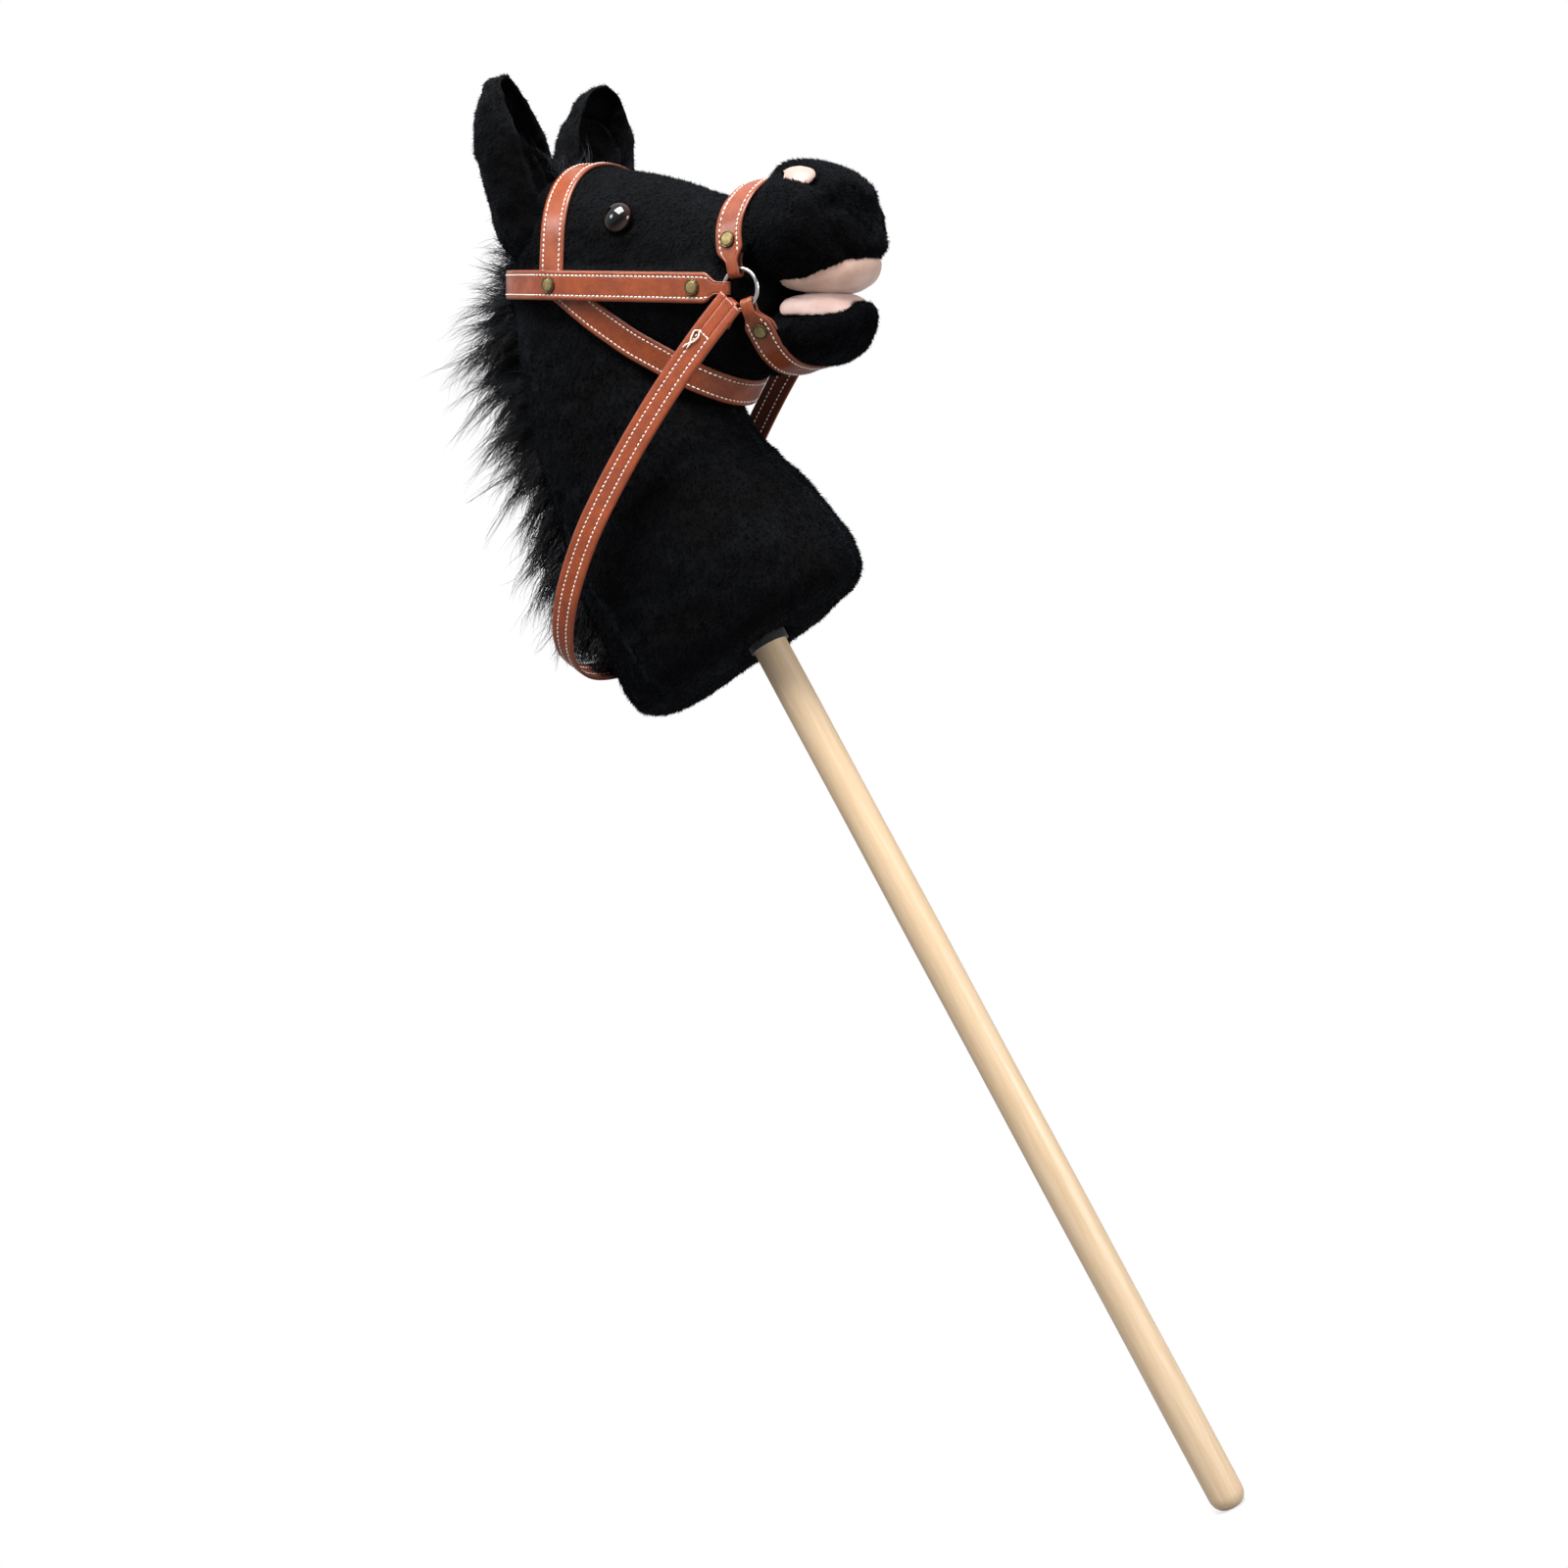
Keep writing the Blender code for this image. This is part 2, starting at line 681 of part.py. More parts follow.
soft_tree, _ = surface_tree(soft_parts)
RING_Y = ring_plane(soft_tree)
wire_reach = 0.5 * (RING_DIAMETER - RING_WIRE)
fold_radius = 0.5 * RING_WIRE + GAP + 0.5 * STRAP_THICKNESS


def thin_line(points, slack=LINE_SLACK):
    """The same line without the points that lie within `slack` of a straight run."""
    points = [np.array(p) for p in points]
    if len(points) < 3:
        return points
    run = points[-1] - points[0]
    run = run / np.linalg.norm(run)
    off = [abs(run[0] * (p - points[0])[1] - run[1] * (p - points[0])[0]) for p in points]
    k = int(np.argmax(off))
    if off[k] < slack:
        return [points[0], points[-1]]
    return thin_line(points[: k + 1], slack)[:-1] + thin_line(points[k:], slack)


def hull_line(points):
    """The taut line over a row of points: the convex outline, between its first and last."""
    points = [np.array(p) for p in points]
    keep = []
    for point in points:
        while len(keep) > 1:
            a, b = keep[-1] - keep[-2], point - keep[-1]
            if a[0] * b[1] - a[1] * b[0] <= 0.0:
                keep.pop()
            else:
                break
        keep.append(point)
    return keep


def resample(points, step):
    """The same line with its corners kept and its long runs divided evenly."""
    points = thin_line(points)
    line = [points[0]]
    for a, b in zip(points, points[1:]):
        count = max(1, int(round(np.linalg.norm(b - a) / step)))
        line += [a + (b - a) * k / count for k in range(1, count + 1)]
    return line


class Route:
    """A strap's way round the head, in a plane that holds the y axis.

    p runs along `forward` from `origin` and q is y; the strap goes down one side, round an end
    at p = reach and back along the other side. `bend` shifts it across its plane.
    """

    def __init__(self, origin, forward, reach, bend=((0.0, 0.0), (1.0, 0.0)), start=0.0):
        self.origin = np.array(origin)
        self.forward = np.array(forward) / np.linalg.norm(forward)
        self.across = np.array((-self.forward[1], self.forward[0]))
        self.reach = reach
        self.bend = np.array(bend)
        self.start = start

    def shift(self, p):
        return np.interp(p, self.bend[:, 0], self.bend[:, 1])

    def place(self, p, q, across=0.0):
        uv = self.origin + p * self.forward + (self.shift(p) + across) * self.across
        return Vector((uv[0], q, uv[1]))

    def surface_points(self, tree, width, start):
        """Points of the right half outline of what lies under the strap, from start to the end."""
        rays = [((p, -OUTSIDE), (0.0, 1.0)) for p in np.arange(start, self.reach, RAY_STEP)]
        for k in range(RAY_TURNS + 1):
            angle = 0.5 * pi * k / RAY_TURNS
            direction = (-sin(angle), cos(angle))
            rays.append(((self.reach - OUTSIDE * direction[0], -OUTSIDE * direction[1]), direction))
        points = []
        for (p, q), (dp, dq) in rays:
            best = None
            for across in np.linspace(-0.5 * width, 0.5 * width, RAYS_ACROSS):
                begin = self.place(p, q, across)
                along = Vector((dp * self.forward[0], dq, dp * self.forward[1]))
                hit = tree.ray_cast(begin, along, OUTSIDE)
                if hit[0] is not None and (best is None or hit[3] < best):
                    best = hit[3]
            if best is not None:
                lift = best - STRAP_SEAT - 0.5 * STRAP_THICKNESS
                points.append((p + lift * dp, q + lift * dq))
        return points


def strap_rings(centres, outs, widths):
    """The four corners of a flat strap at each point of its centre line, square to the line."""
    count = len(centres)
    rings = []
    for i in range(count):
        along = (centres[min(i + 1, count - 1)] - centres[max(i - 1, 0)]).normalized()
        out = (outs[i] - along * outs[i].dot(along)).normalized()
        across = along.cross(out).normalized()
        half, thick = 0.5 * widths[i], 0.5 * STRAP_THICKNESS
        corners = ((half, thick), (-half, thick), (-half, -thick), (half, -thick))
        rings.append([centres[i] + across * a + out * t for a, t in corners])
    return rings


def ribbon(name, route, line, widths):
    """A strap whose centre line is a row of points (p, q) in a route's plane."""
    last = len(line) - 1
    outs = []
    for i in range(last + 1):
        dp, dq = line[min(i + 1, last)] - line[max(i - 1, 0)]
        outs.append(Vector((-dq * route.forward[0], dp, -dq * route.forward[1])))
    centres = [route.place(p, q) for p, q in line]
    mesh = skin_rings(strap_rings(centres, outs, widths))
    mesh.shade_flat()
    return add_object(name, mesh, "leather", head_frame)


def mirrored(line):
    return line + [np.array((p, -q)) for p, q in reversed(line[:-1])]


def open_strap(name, route, tree, width=STRAP_WIDTH):
    """A strap laid taut over the head between two plain ends."""
    half = hull_line(route.surface_points(tree, width, route.start))
    half[-1] = np.array((half[-1][0], 0.0))
    line = mirrored(resample(half, STEP))
    return ribbon(name, route, line, [width] * len(line))


def neck_down(p):
    """Width of a strap near its fold: narrow round the wire, full a little further out."""
    t = min(max((abs(p) - FOLD_REACH) / 0.009, 0.0), 1.0)
    return STRAP_NECK_WIDTH + (STRAP_WIDTH - STRAP_NECK_WIDTH) * t * t * (3.0 - 2.0 * t)


def fold_points(route):
    """Centre line of a strap round the ring's wire, from its inner to its outer layer.

    The wire curves away under the strap's edges, so the fold is centred where it does so most.
    """
    ring_p = -float(np.dot(route.origin, route.forward))
    ring_s = -float(np.dot(route.origin, route.across))
    edges = (-0.5 * STRAP_NECK_WIDTH, 0.5 * STRAP_NECK_WIDTH)
    centre = min(ring_p + sqrt(wire_reach**2 - (edge - ring_s) ** 2) for edge in edges) - FOLD_EASE
    turns = [radians(a) for a in (90, 60, 30, 0, -30, -60, -90)]
    return [
        np.array((centre - fold_radius * cos(a), -RING_Y + fold_radius * sin(a))) for a in turns
    ]


def ringed_strap(name, route, tree, tail):
    """A strap from ring to ring: each end turns round the wire and lies back under itself."""
    shift = np.array((0.0, fold_radius))
    wire = np.array((FOLD_REACH, -RING_Y))
    under = [p for p in route.surface_points(tree, STRAP_WIDTH, FOLD_REACH) if p[0] > FOLD_REACH]
    inner = [p for p in resample(hull_line([wire + shift] + under), 0.5 * STEP) if p[0] < tail]
    lift = STRAP_THICKNESS + LAYER_GAP
    raised = []
    for i, point in enumerate(inner):
        a, b = inner[max(i - 1, 0)], inner[min(i + 1, len(inner) - 1)]
        along = (b - a) / np.linalg.norm(b - a)
        raised.append(point + lift * np.array((along[1], -along[0])))
    far = [p for p in under if p[0] > inner[-1][0] + 0.5 * STEP or p[1] > 0.5 * raised[-1][1]]
    outer = hull_line([wire - shift] + raised[1:] + far)
    outer[-1] = np.array((outer[-1][0], 0.0))
    half = list(reversed(inner)) + fold_points(route) + resample(outer, STEP)
    line = mirrored(half)
    widths = [neck_down(p[0]) if abs(p[1]) > 0.5 * RING_Y else STRAP_WIDTH for p in line]
    return ribbon(name, route, line, widths)


def end_route(angle, towards, reach, bend=((0.0, 0.0), (1.0, 0.0))):
    """A route that starts on the ring's wire in one direction and runs on `towards`."""
    origin = (wire_reach * cos(angle), wire_reach * sin(angle))
    return Route(origin, towards, reach, bend)


crossing = np.array((poll_u + BROW_FROM_POLL, BROW_HEIGHT))
throat_start = crossing + np.array(THROAT_START)
throat_run = np.array((poll_u + THROAT_TURN_FROM_POLL, THROAT_TURN_HEIGHT)) - throat_start
throat_route = Route(throat_start, throat_run, float(np.linalg.norm(throat_run)), THROAT_BEND, -0.004)
brow_route = Route(crossing + np.array((0.0, -0.006)), (-0.012, 1.0), 0.036)
cheek_route = end_route(CHEEK_ANGLE, (-1.0, 0.028), -poll_u - CROWN_TURN_FROM_POLL)
nose_route = end_route(NOSE_ANGLE, (-0.12, 0.99), 0.020, NOSE_BEND)
chin_route = end_route(CHIN_ANGLE, (0.28, -0.96), 0.010, CHIN_BEND)

throat_strap = open_strap("throat_strap", throat_route, soft_tree)
brow_tree, _ = surface_tree(soft_parts + [throat_strap])
brow_strap = open_strap("brow_strap", brow_route, brow_tree)
crown_tree, _ = surface_tree(soft_parts + [throat_strap, brow_strap])
crown_strap = ringed_strap("crown_strap", cheek_route, crown_tree, CHEEK_RIVET + 0.008)
nose_strap = ringed_strap("nose_strap", nose_route, soft_tree, NOSE_RIVET + 0.008)
chin_tree, _ = surface_tree([head, upper_muzzle, lower_jaw, throat_strap])
chin_strap = ringed_strap("chin_strap", chin_route, chin_tree, CHIN_RIVET + 0.008)
straps = [throat_strap, brow_strap, crown_strap, nose_strap, chin_strap]


def facing(normal):
    """The turn that takes a turned piece's Z axis to a surface's normal."""
    return normal.to_track_quat("Z", "Y").to_euler()


def place_on(item, point, normal):
    item.location = point
    item.rotation_euler = facing(normal)


def outward_hit(tree, begin, along):
    """The surface point that a line meets, and the surface's normal turned against the line."""
    hit = tree.ray_cast(begin, along)
    point, normal = hit[0], hit[1]
    if normal.dot(along) > 0.0:
        normal = -normal
    return point, normal


def build_rings():
    for side, word in ((-1.0, "right"), (1.0, "left")):
        bpy.ops.mesh.primitive_torus_add(
            major_radius=wire_reach, minor_radius=0.5 * RING_WIRE, major_segments=32, minor_segments=8
        )
        ring = take_last_primitive("ring_" + word, "nickel", head_frame)
        ring.data.shade_smooth()
        ring.location = (0.0, side * RING_Y, 0.0)
        ring.rotation_euler = (0.5 * pi, 0.0, 0.0)


def build_rivet(name, point, normal, shank_length):
    """A domed cap with a shank that reaches down through the strap layers under it."""
    cap = 0.5 * RIVET_DIAMETER
    shank = 0.5 * RIVET_SHANK
    profile = [(0.0, RIVET_RISE)]
    profile += [(cap * sin(a), RIVET_RISE * (0.45 + 0.55 * cos(a))) for a in (0.45, 0.95, 0.5 * pi)]
    profile += [(cap, 0.0), (shank, 0.0), (shank, -shank_length), (0.0, -shank_length)]
    rivet = turned(name, profile, "brass", head_frame, RIVET_SIDES)
    place_on(rivet, point + normal * GAP, normal)


def rivet_hole(name, point, normal, depth, items):
    hole = cylinder_cutter(name, 0.5 * RIVET_HOLE, -depth - HOLE_ROOM, HOLE_ROOM, head_frame, RIVET_SIDES)
    place_on(hole, point, normal)
    for item in items:
        cut(item, hole)


def build_rivets():
    """Four rivets a side: three close a strap's fold, one joins the straps behind the brow."""
    layers = 2.0 * STRAP_THICKNESS + LAYER_GAP
    crossing_p = float(np.dot(crossing - cheek_route.origin, cheek_route.forward))
    places = (
        ("cheek_rivet_", cheek_route, CHEEK_RIVET, [crown_strap]),
        ("nose_rivet_", nose_route, NOSE_RIVET, [nose_strap]),
        ("chin_rivet_", chin_route, CHIN_RIVET, [chin_strap]),
        ("brow_rivet_", cheek_route, crossing_p, [crown_strap, brow_strap, throat_strap]),
    )
    found = []
    for base, route, p, items in places:
        tree, _ = surface_tree(items[:1])
        for side, word in ((-1.0, "right"), (1.0, "left")):
            begin = route.place(p, side * OUTSIDE)
            point, normal = outward_hit(tree, begin, Vector((0.0, -side, 0.0)))
            depth = layers
            if len(items) > 1:
                below = soft_tree.ray_cast(point, -normal)
                depth = below[3] - STRAP_SEAT + GAP
            found.append((base + word, point, normal, depth, items))
    for name, point, normal, depth, items in found:
        rivet_hole(name + "_hole", point, normal, depth, items)
        build_rivet(name, point, normal, depth)
    return [bpy.data.objects[entry[0]] for entry in found]


def build_eyes():
    """Glass domes on a shank through the head's side, held by a washer inside the stuffing."""
    eyes = []
    shank = 0.5 * EYE_SHANK
    radius = 0.5 * EYE_DIAMETER
    for side, word in ((-1.0, "right"), (1.0, "left")):
        begin = Vector((poll_u + EYE_FROM_POLL, side * OUTSIDE, EYE_HEIGHT))
        point, normal = outward_hit(soft_tree, begin, Vector((0.0, -side, 0.0)))
        turns = np.linspace(0.0, 0.5 * pi, 7)[1:]
        profile = [(0.0, EYE_FLANGE + EYE_RISE)]
        profile += [(radius * sin(a), EYE_FLANGE + EYE_RISE * cos(a)) for a in turns]
        profile += [(radius, 0.0), (shank, 0.0), (shank, -EYE_SHANK_LENGTH), (0.0, -EYE_SHANK_LENGTH)]
        eye = turned("eye_" + word, profile, "eye", head_frame)
        place_on(eye, point + normal * GAP, normal)
        depth = EYE_SHANK_LENGTH + 2.0 * GAP
        hole = cylinder_cutter("eye_hole_" + word, shank + GAP, -depth, CUT_PAST, head_frame)
        top = -WASHER_DEPTH
        bottom = top - WASHER_THICKNESS
        outer, inner = 0.5 * WASHER_DIAMETER, shank + GAP
        pocket = cylinder_cutter("eye_pocket_" + word, outer + GAP, bottom - GAP, top + GAP, head_frame)
        ring = [(outer, top), (outer, bottom), (inner, bottom), (inner, top), (outer, top)]
        washer = turned("eye_washer_" + word, ring, "plastic", head_frame)
        for item in (hole, pocket, washer):
            place_on(item, point, normal)
        cut(head, hole)
        cut(head, pocket)
        eyes.append(eye)
    return eyes


def build_nostril_linings():
    """Small cushions of lining cloth in the nostril folds, on top of the muzzle."""
    for side, word in ((-1.0, "right"), (1.0, "left")):
        begin = Vector((NOSTRIL_PLACE[0], side * NOSTRIL_PLACE[1], OUTSIDE))
        point, normal = outward_hit(soft_tree, begin, Vector((0.0, 0.0, -1.0)))
        bpy.ops.mesh.primitive_uv_sphere_add(segments=20, ring_count=10, radius=0.5)
        item = take_last_primitive("nostril_lining_" + word, "satin", head_frame)
        item.data.transform(Matrix.Diagonal((*NOSTRIL_SIZE, 1.0)))
        item.data.shade_smooth()
        item.location = point - normal * NOSTRIL_SINK
        item.rotation_euler = (-side * NOSTRIL_LEAN, 0.0, 0.0)
        cut(item, muzzle_grown)
        cut(item, head_whole)


def build_hair():
    """The mane as one ridge down the back of head and neck, and the forelock between the ears."""
    back = []
    low, high = MANE_SPAN
    for share in np.linspace(low, 1.0 - NECK_CROWN, 9):
        x = smooth_table(NECK_SECTIONS, share)[0] * NECK_DEPTH - NECK_SET_BACK
        z = STICK_BELOW_NECK + BASE_PANEL_THICKNESS + GAP + share * NECK_HEIGHT
        back.append(to_head((x, 0.0, z)))
    back += [Vector((poll_u, 0.0, v)) for v in (0.5 * high, high)]
    rings = []
    last = len(back) - 1
    for i, point in enumerate(back):
        along = (back[min(i + 1, last)] - back[max(i - 1, 0)]).normalized()
        out = Vector((-along.z, 0.0, along.x))
        size = (0.45 + 0.55 * sin(pi * (0.12 + 0.76 * i / last))) if 0 < i < last else 0.35
        ys, ns = oval(0.5 * MANE_WIDTH * size, 0.5 * (MANE_RISE + MANE_ROOT) * size, 2.2, 16)
        centre = point + out * (0.5 * (MANE_RISE - MANE_ROOT) * size)
        rings.append([centre + out * n + Vector((0.0, y, 0.0)) for y, n in zip(ys, ns)])
    mane = add_object("mane", skin_rings(rings), "mane", head_frame)
    bpy.ops.mesh.primitive_uv_sphere_add(segments=16, ring_count=8, radius=0.5)
    forelock = take_last_primitive("forelock", "mane", head_frame)
    forelock.data.transform(Matrix.Diagonal((*FORELOCK_SIZE, 1.0)))
    forelock.data.shade_smooth()
    forelock.location = (poll_u + FORELOCK_FROM_POLL, 0.0, FORELOCK_HEIGHT)
    strap_grown = grown_copy(crown_strap, 2.0 * GAP)
    for item in (mane, forelock):
        cut(item, neck_grown)
        cut(item, head_whole)
    cut(mane, strap_grown)


eyes = build_eyes()
build_rings()
rivets = build_rivets()
build_nostril_linings()
build_hair()

# Rein, which turns about the line through both ring wires
rein_pivot = np.array((wire_reach * cos(REIN_ANGLE), wire_reach * sin(REIN_ANGLE)))
loop_route = Route(rein_pivot, (cos(REIN_ANGLE), sin(REIN_ANGLE)), 1.0)


def build_rein_loops():
    """The folded ends that hold the rein on the rings."""
    for side, word in ((1.0, "right"), (-1.0, "left")):
        inner, outer = -RING_Y + fold_radius, -RING_Y - fold_radius
        line = [(REIN_LOOP_LENGTH, inner), (FOLD_REACH, inner)]
        line += [tuple(p) for p in fold_points(loop_route)]
        line += [(FOLD_REACH, outer), (REIN_LOOP_LENGTH, outer)]
        line = [np.array((p, side * q)) for p, q in line]
        ribbon("rein_loop_" + word, loop_route, line, [STRAP_NECK_WIDTH] * len(line))


def build_rein():
    """One strap from ring to ring round the back of the neck.

    Its middle line is an arc in the head's middle plane, from the ring wires to the back of the
    neck. Its half width starts just outside the ring, is wide enough to pass the head, eyes and
    ears on the way over them, and closes along a superellipse behind the neck.
    """
    share = (REIN_REST_HEIGHT - BASE_PANEL_THICKNESS - GAP) / NECK_HEIGHT
    x = smooth_table(NECK_SECTIONS, share)[0] * NECK_DEPTH - NECK_SET_BACK
    x -= REIN_CLEARANCE + 0.5 * STRAP_THICKNESS + 0.5 * STRAP_WIDTH * sin(REIN_LEAN)
    rest = to_head((x, 0.0, STICK_BELOW_NECK + REIN_REST_HEIGHT))
    chord = np.array((rest.x, rest.z)) - rein_pivot
    length = float(np.linalg.norm(chord))
    along = chord / length
    upward = np.array((along[1], -along[0]))
    start = RING_Y + fold_radius + STRAP_THICKNESS + 2.0 * GAP
    opening = length - REIN_CLOSING
    _, points = surface_tree([neck, head, upper_muzzle, lower_jaw] + ears + eyes + straps + rivets)
    reach = np.hypot(points[:, 0] - rein_pivot[0], points[:, 2] - rein_pivot[1])
    side = np.abs(points[:, 1]) + REIN_CLEARANCE + 0.5 * STRAP_THICKNESS

    def closing(a):
        return (1.0 - max(0.0, (a - opening) / REIN_CLOSING) ** REIN_POWER) ** (1.0 / REIN_POWER)

    needed = []
    for a in np.arange(0.004, 0.86 * length, 0.004):
        near = side[(reach > a - 0.010) & (reach < a + 0.010)]
        needed.append((a, float(near.max()) / closing(a + 0.010) if len(near) else 0.0))
    widest = max(need for _, need in needed)
    top = [(a, -need) for a, need in needed if a < opening] + [(opening, -widest)]
    rise = hull_line([(-REIN_LEAD, -start), (0.0, -start)] + top)
    rise_a = [p[0] for p in rise]
    rise_y = np.maximum.accumulate([-p[1] for p in rise])

    def middle(a):
        share = a / length
        return rein_pivot + along * a + upward * (4.0 * REIN_SAG * share * (1.0 - share))

    line = [(a, float(np.interp(a, rise_a, rise_y))) for a in np.linspace(-REIN_LEAD, opening, 24)]
    for k in range(1, 15):
        angle = 0.5 * pi * k / 14
        a = opening + REIN_CLOSING * sin(angle) ** (2.0 / REIN_POWER)
        line.append((a, widest * max(cos(angle), 0.0) ** (2.0 / REIN_POWER)))
    line[-1] = (length, 0.0)
    both = [(a, -y) for a, y in line] + [(a, y) for a, y in reversed(line[:-1])]
    centres = []
    for a, y in both:
        place = middle(a) - rein_pivot
        centres.append(Vector((place[0], y, place[1])))
    outs = []
    for i, (a, y) in enumerate(both):
        flat = middle(a + 0.001) - middle(a - 0.001)
        across = Vector((-flat[1], 0.0, flat[0])).normalized()
        run = centres[min(i + 1, len(both) - 1)] - centres[max(i - 1, 0)]
        outs.append(run.cross(across))
    mesh = skin_rings(strap_rings(centres, outs, [STRAP_WIDTH] * len(both)))
    mesh.shade_flat()
    rein = add_object("rein", mesh, "leather", head_frame)
    rein.location = (rein_pivot[0], 0.0, rein_pivot[1])


build_rein_loops()
build_rein()
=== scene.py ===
"""Looks of the toy stick horse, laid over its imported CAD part.

The frame is the CAD's: the stick stands on its foot at the origin, the nose points along +X and
the horse's left side is +Y. Head points are given as (u, y, v): u forward along the head, v up,
from the line through the two bridle rings.
"""

from math import cos, pi, radians, sin, sqrt

import bmesh
import bpy
import numpy as np
from mathutils import Matrix, Vector
from mathutils.bvhtree import BVHTree

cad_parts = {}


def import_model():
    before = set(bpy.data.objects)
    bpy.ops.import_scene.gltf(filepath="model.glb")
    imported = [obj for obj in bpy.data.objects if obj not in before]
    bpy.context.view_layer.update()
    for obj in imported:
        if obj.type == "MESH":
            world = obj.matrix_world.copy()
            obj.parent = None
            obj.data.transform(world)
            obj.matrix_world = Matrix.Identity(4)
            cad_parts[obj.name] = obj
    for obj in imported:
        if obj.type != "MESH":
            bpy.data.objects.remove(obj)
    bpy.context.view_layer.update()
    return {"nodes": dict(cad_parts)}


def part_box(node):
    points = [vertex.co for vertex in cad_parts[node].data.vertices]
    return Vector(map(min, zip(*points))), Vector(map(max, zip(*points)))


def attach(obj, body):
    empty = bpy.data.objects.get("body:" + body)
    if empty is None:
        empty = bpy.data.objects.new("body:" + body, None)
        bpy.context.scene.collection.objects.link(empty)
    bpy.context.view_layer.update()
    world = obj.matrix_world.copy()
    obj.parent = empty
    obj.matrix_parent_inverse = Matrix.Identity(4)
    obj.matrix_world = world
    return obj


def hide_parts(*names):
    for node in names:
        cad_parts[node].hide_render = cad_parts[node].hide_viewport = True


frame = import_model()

# Head frame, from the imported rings
PITCH = radians(33.4)
ring_low, ring_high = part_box("ring_right")
RING_X = 0.5 * (ring_low.x + ring_high.x)
RING_Z = 0.5 * (ring_low.z + ring_high.z)
RING_Y = -0.5 * (ring_low.y + ring_high.y)

# Bridle sizes and routes, as in the CAD source
STRAP_WIDTH = 0.018
STRAP_THICKNESS = 0.0018
STRAP_NECK_WIDTH = 0.0078
STRAP_SEAT = 0.0006
LAYER_GAP = 0.0004
GAP = 0.0003
RING_DIAMETER = 0.026
RING_WIRE = 0.0026
RIVET_DIAMETER = 0.010
RIVET_RISE = 0.0014
FOLD_REACH = 0.0035
FOLD_EASE = 0.0001
OUTSIDE = 0.090
RAY_STEP = 0.0015
LINE_STEP = 0.0015
FOLD_POINTS = 13
RAY_TURNS = 36
RAYS_ACROSS = 7
CROSSING = np.array((-0.1362, 0.0037))
THROAT_TURN = np.array((-0.0634, -0.0381))
THROAT_BEND = (
    (0.0, 0.0), (0.012, -0.0010), (0.031, -0.0030), (0.060, -0.0040), (0.090, -0.0020), (0.115, 0.0)
)
NOSE_BEND = ((0.0, 0.0), (0.017, 0.0022), (0.030, 0.0015), (0.043, -0.0035), (0.060, -0.0060))
CHIN_BEND = ((0.0, 0.0), (0.014, 0.0014), (0.027, 0.0000), (0.040, -0.0010))
CHEEK_RIVET = 0.0200
NOSE_RIVET = 0.0175
CHIN_RIVET = 0.0150
REIN_ANGLE = radians(237.5)
REIN_REST = np.array((-0.1169, 0.6330))
REIN_SAG = 0.014
REIN_CLOSING = 0.105
REIN_POWER = 3.0
REIN_LEAD = 0.004
REIN_SPREAD = ((0.0, 0.0546), (0.0030, 0.0557), (0.0173, 0.0577))
REIN_MIDDLE = np.array((-0.02, 0.0, 0.68))

# Thread: how thick, how long and how far apart the stitches are, and where the rein's rows begin
THREAD_RADIUS = 0.00043
STITCH_LENGTH = 0.0023
STITCH_PITCH = 0.0031
STITCH_SUNK = 0.00012
REIN_ROW_START = 0.026

# Plush
BODY_VOXEL = 0.008
FORM_VOXEL = 0.004
SHRINK = 0.0010
SWELL_CAP = 0.0028
SWELL_FRAMES = 20
PILE_LENGTH = 0.0027
PILE_WIDTH = 0.00033
STRAP_PRESS = 0.5 * STRAP_THICKNESS + 0.0004
EYE_PLACE = (-0.090, 0.0426)
THIRDS = (0.0, 2.0944, 4.1888)


def world(points):
    """Head frame points (u, y, v) as points of the row frame."""
    p = np.asarray(points, float)
    u, y, v = p[..., 0], p[..., 1], p[..., 2]
    c, s = cos(PITCH), sin(PITCH)
    return np.stack([RING_X + u * c + v * s, y, RING_Z - u * s + v * c], -1)


def to_head(points):
    """Row frame points as head frame points (u, y, v)."""
    p = np.asarray(points, float)
    x, y, z = p[..., 0] - RING_X, p[..., 1], p[..., 2] - RING_Z
    c, s = cos(PITCH), sin(PITCH)
    return np.stack([x * c - z * s, y, x * s + z * c], -1)


def world_way(way):
    """A direction of the head frame as one of the row frame."""
    return world(way) - world(np.zeros(3))


def unit(vectors):
    """Directions scaled to a length of one."""
    return vectors / np.maximum(np.linalg.norm(vectors, axis=-1, keepdims=True), 1e-12)


def ramp(values, start, width):
    """0 up to `start`, then a straight rise to 1 over `width`."""
    return np.clip((values - start) / width, 0.0, 1.0)


def bell(values, width, power=2):
    """1 at zero, falling off to both sides as e to the minus (value / width) to the power."""
    return np.exp(-((values / width) ** power))


def run_along(points):
    """Distance along a line of points, from its first one."""
    return np.concatenate([[0.0], np.cumsum(np.linalg.norm(np.diff(points, axis=0), axis=1))])


def lumps(points, size, seed, waves=16):
    """Smooth unevenness: a sum of sines along seeded directions, with bumps about `size` apart."""
    rng = np.random.default_rng(seed)
    total = np.zeros(len(points))
    for _ in range(waves):
        way = unit(rng.normal(size=3)) * 2.0 * pi / (size * rng.uniform(0.7, 1.7))
        total += np.sin(points @ way + rng.uniform(0.0, 2.0 * pi))
    return total / sqrt(waves)


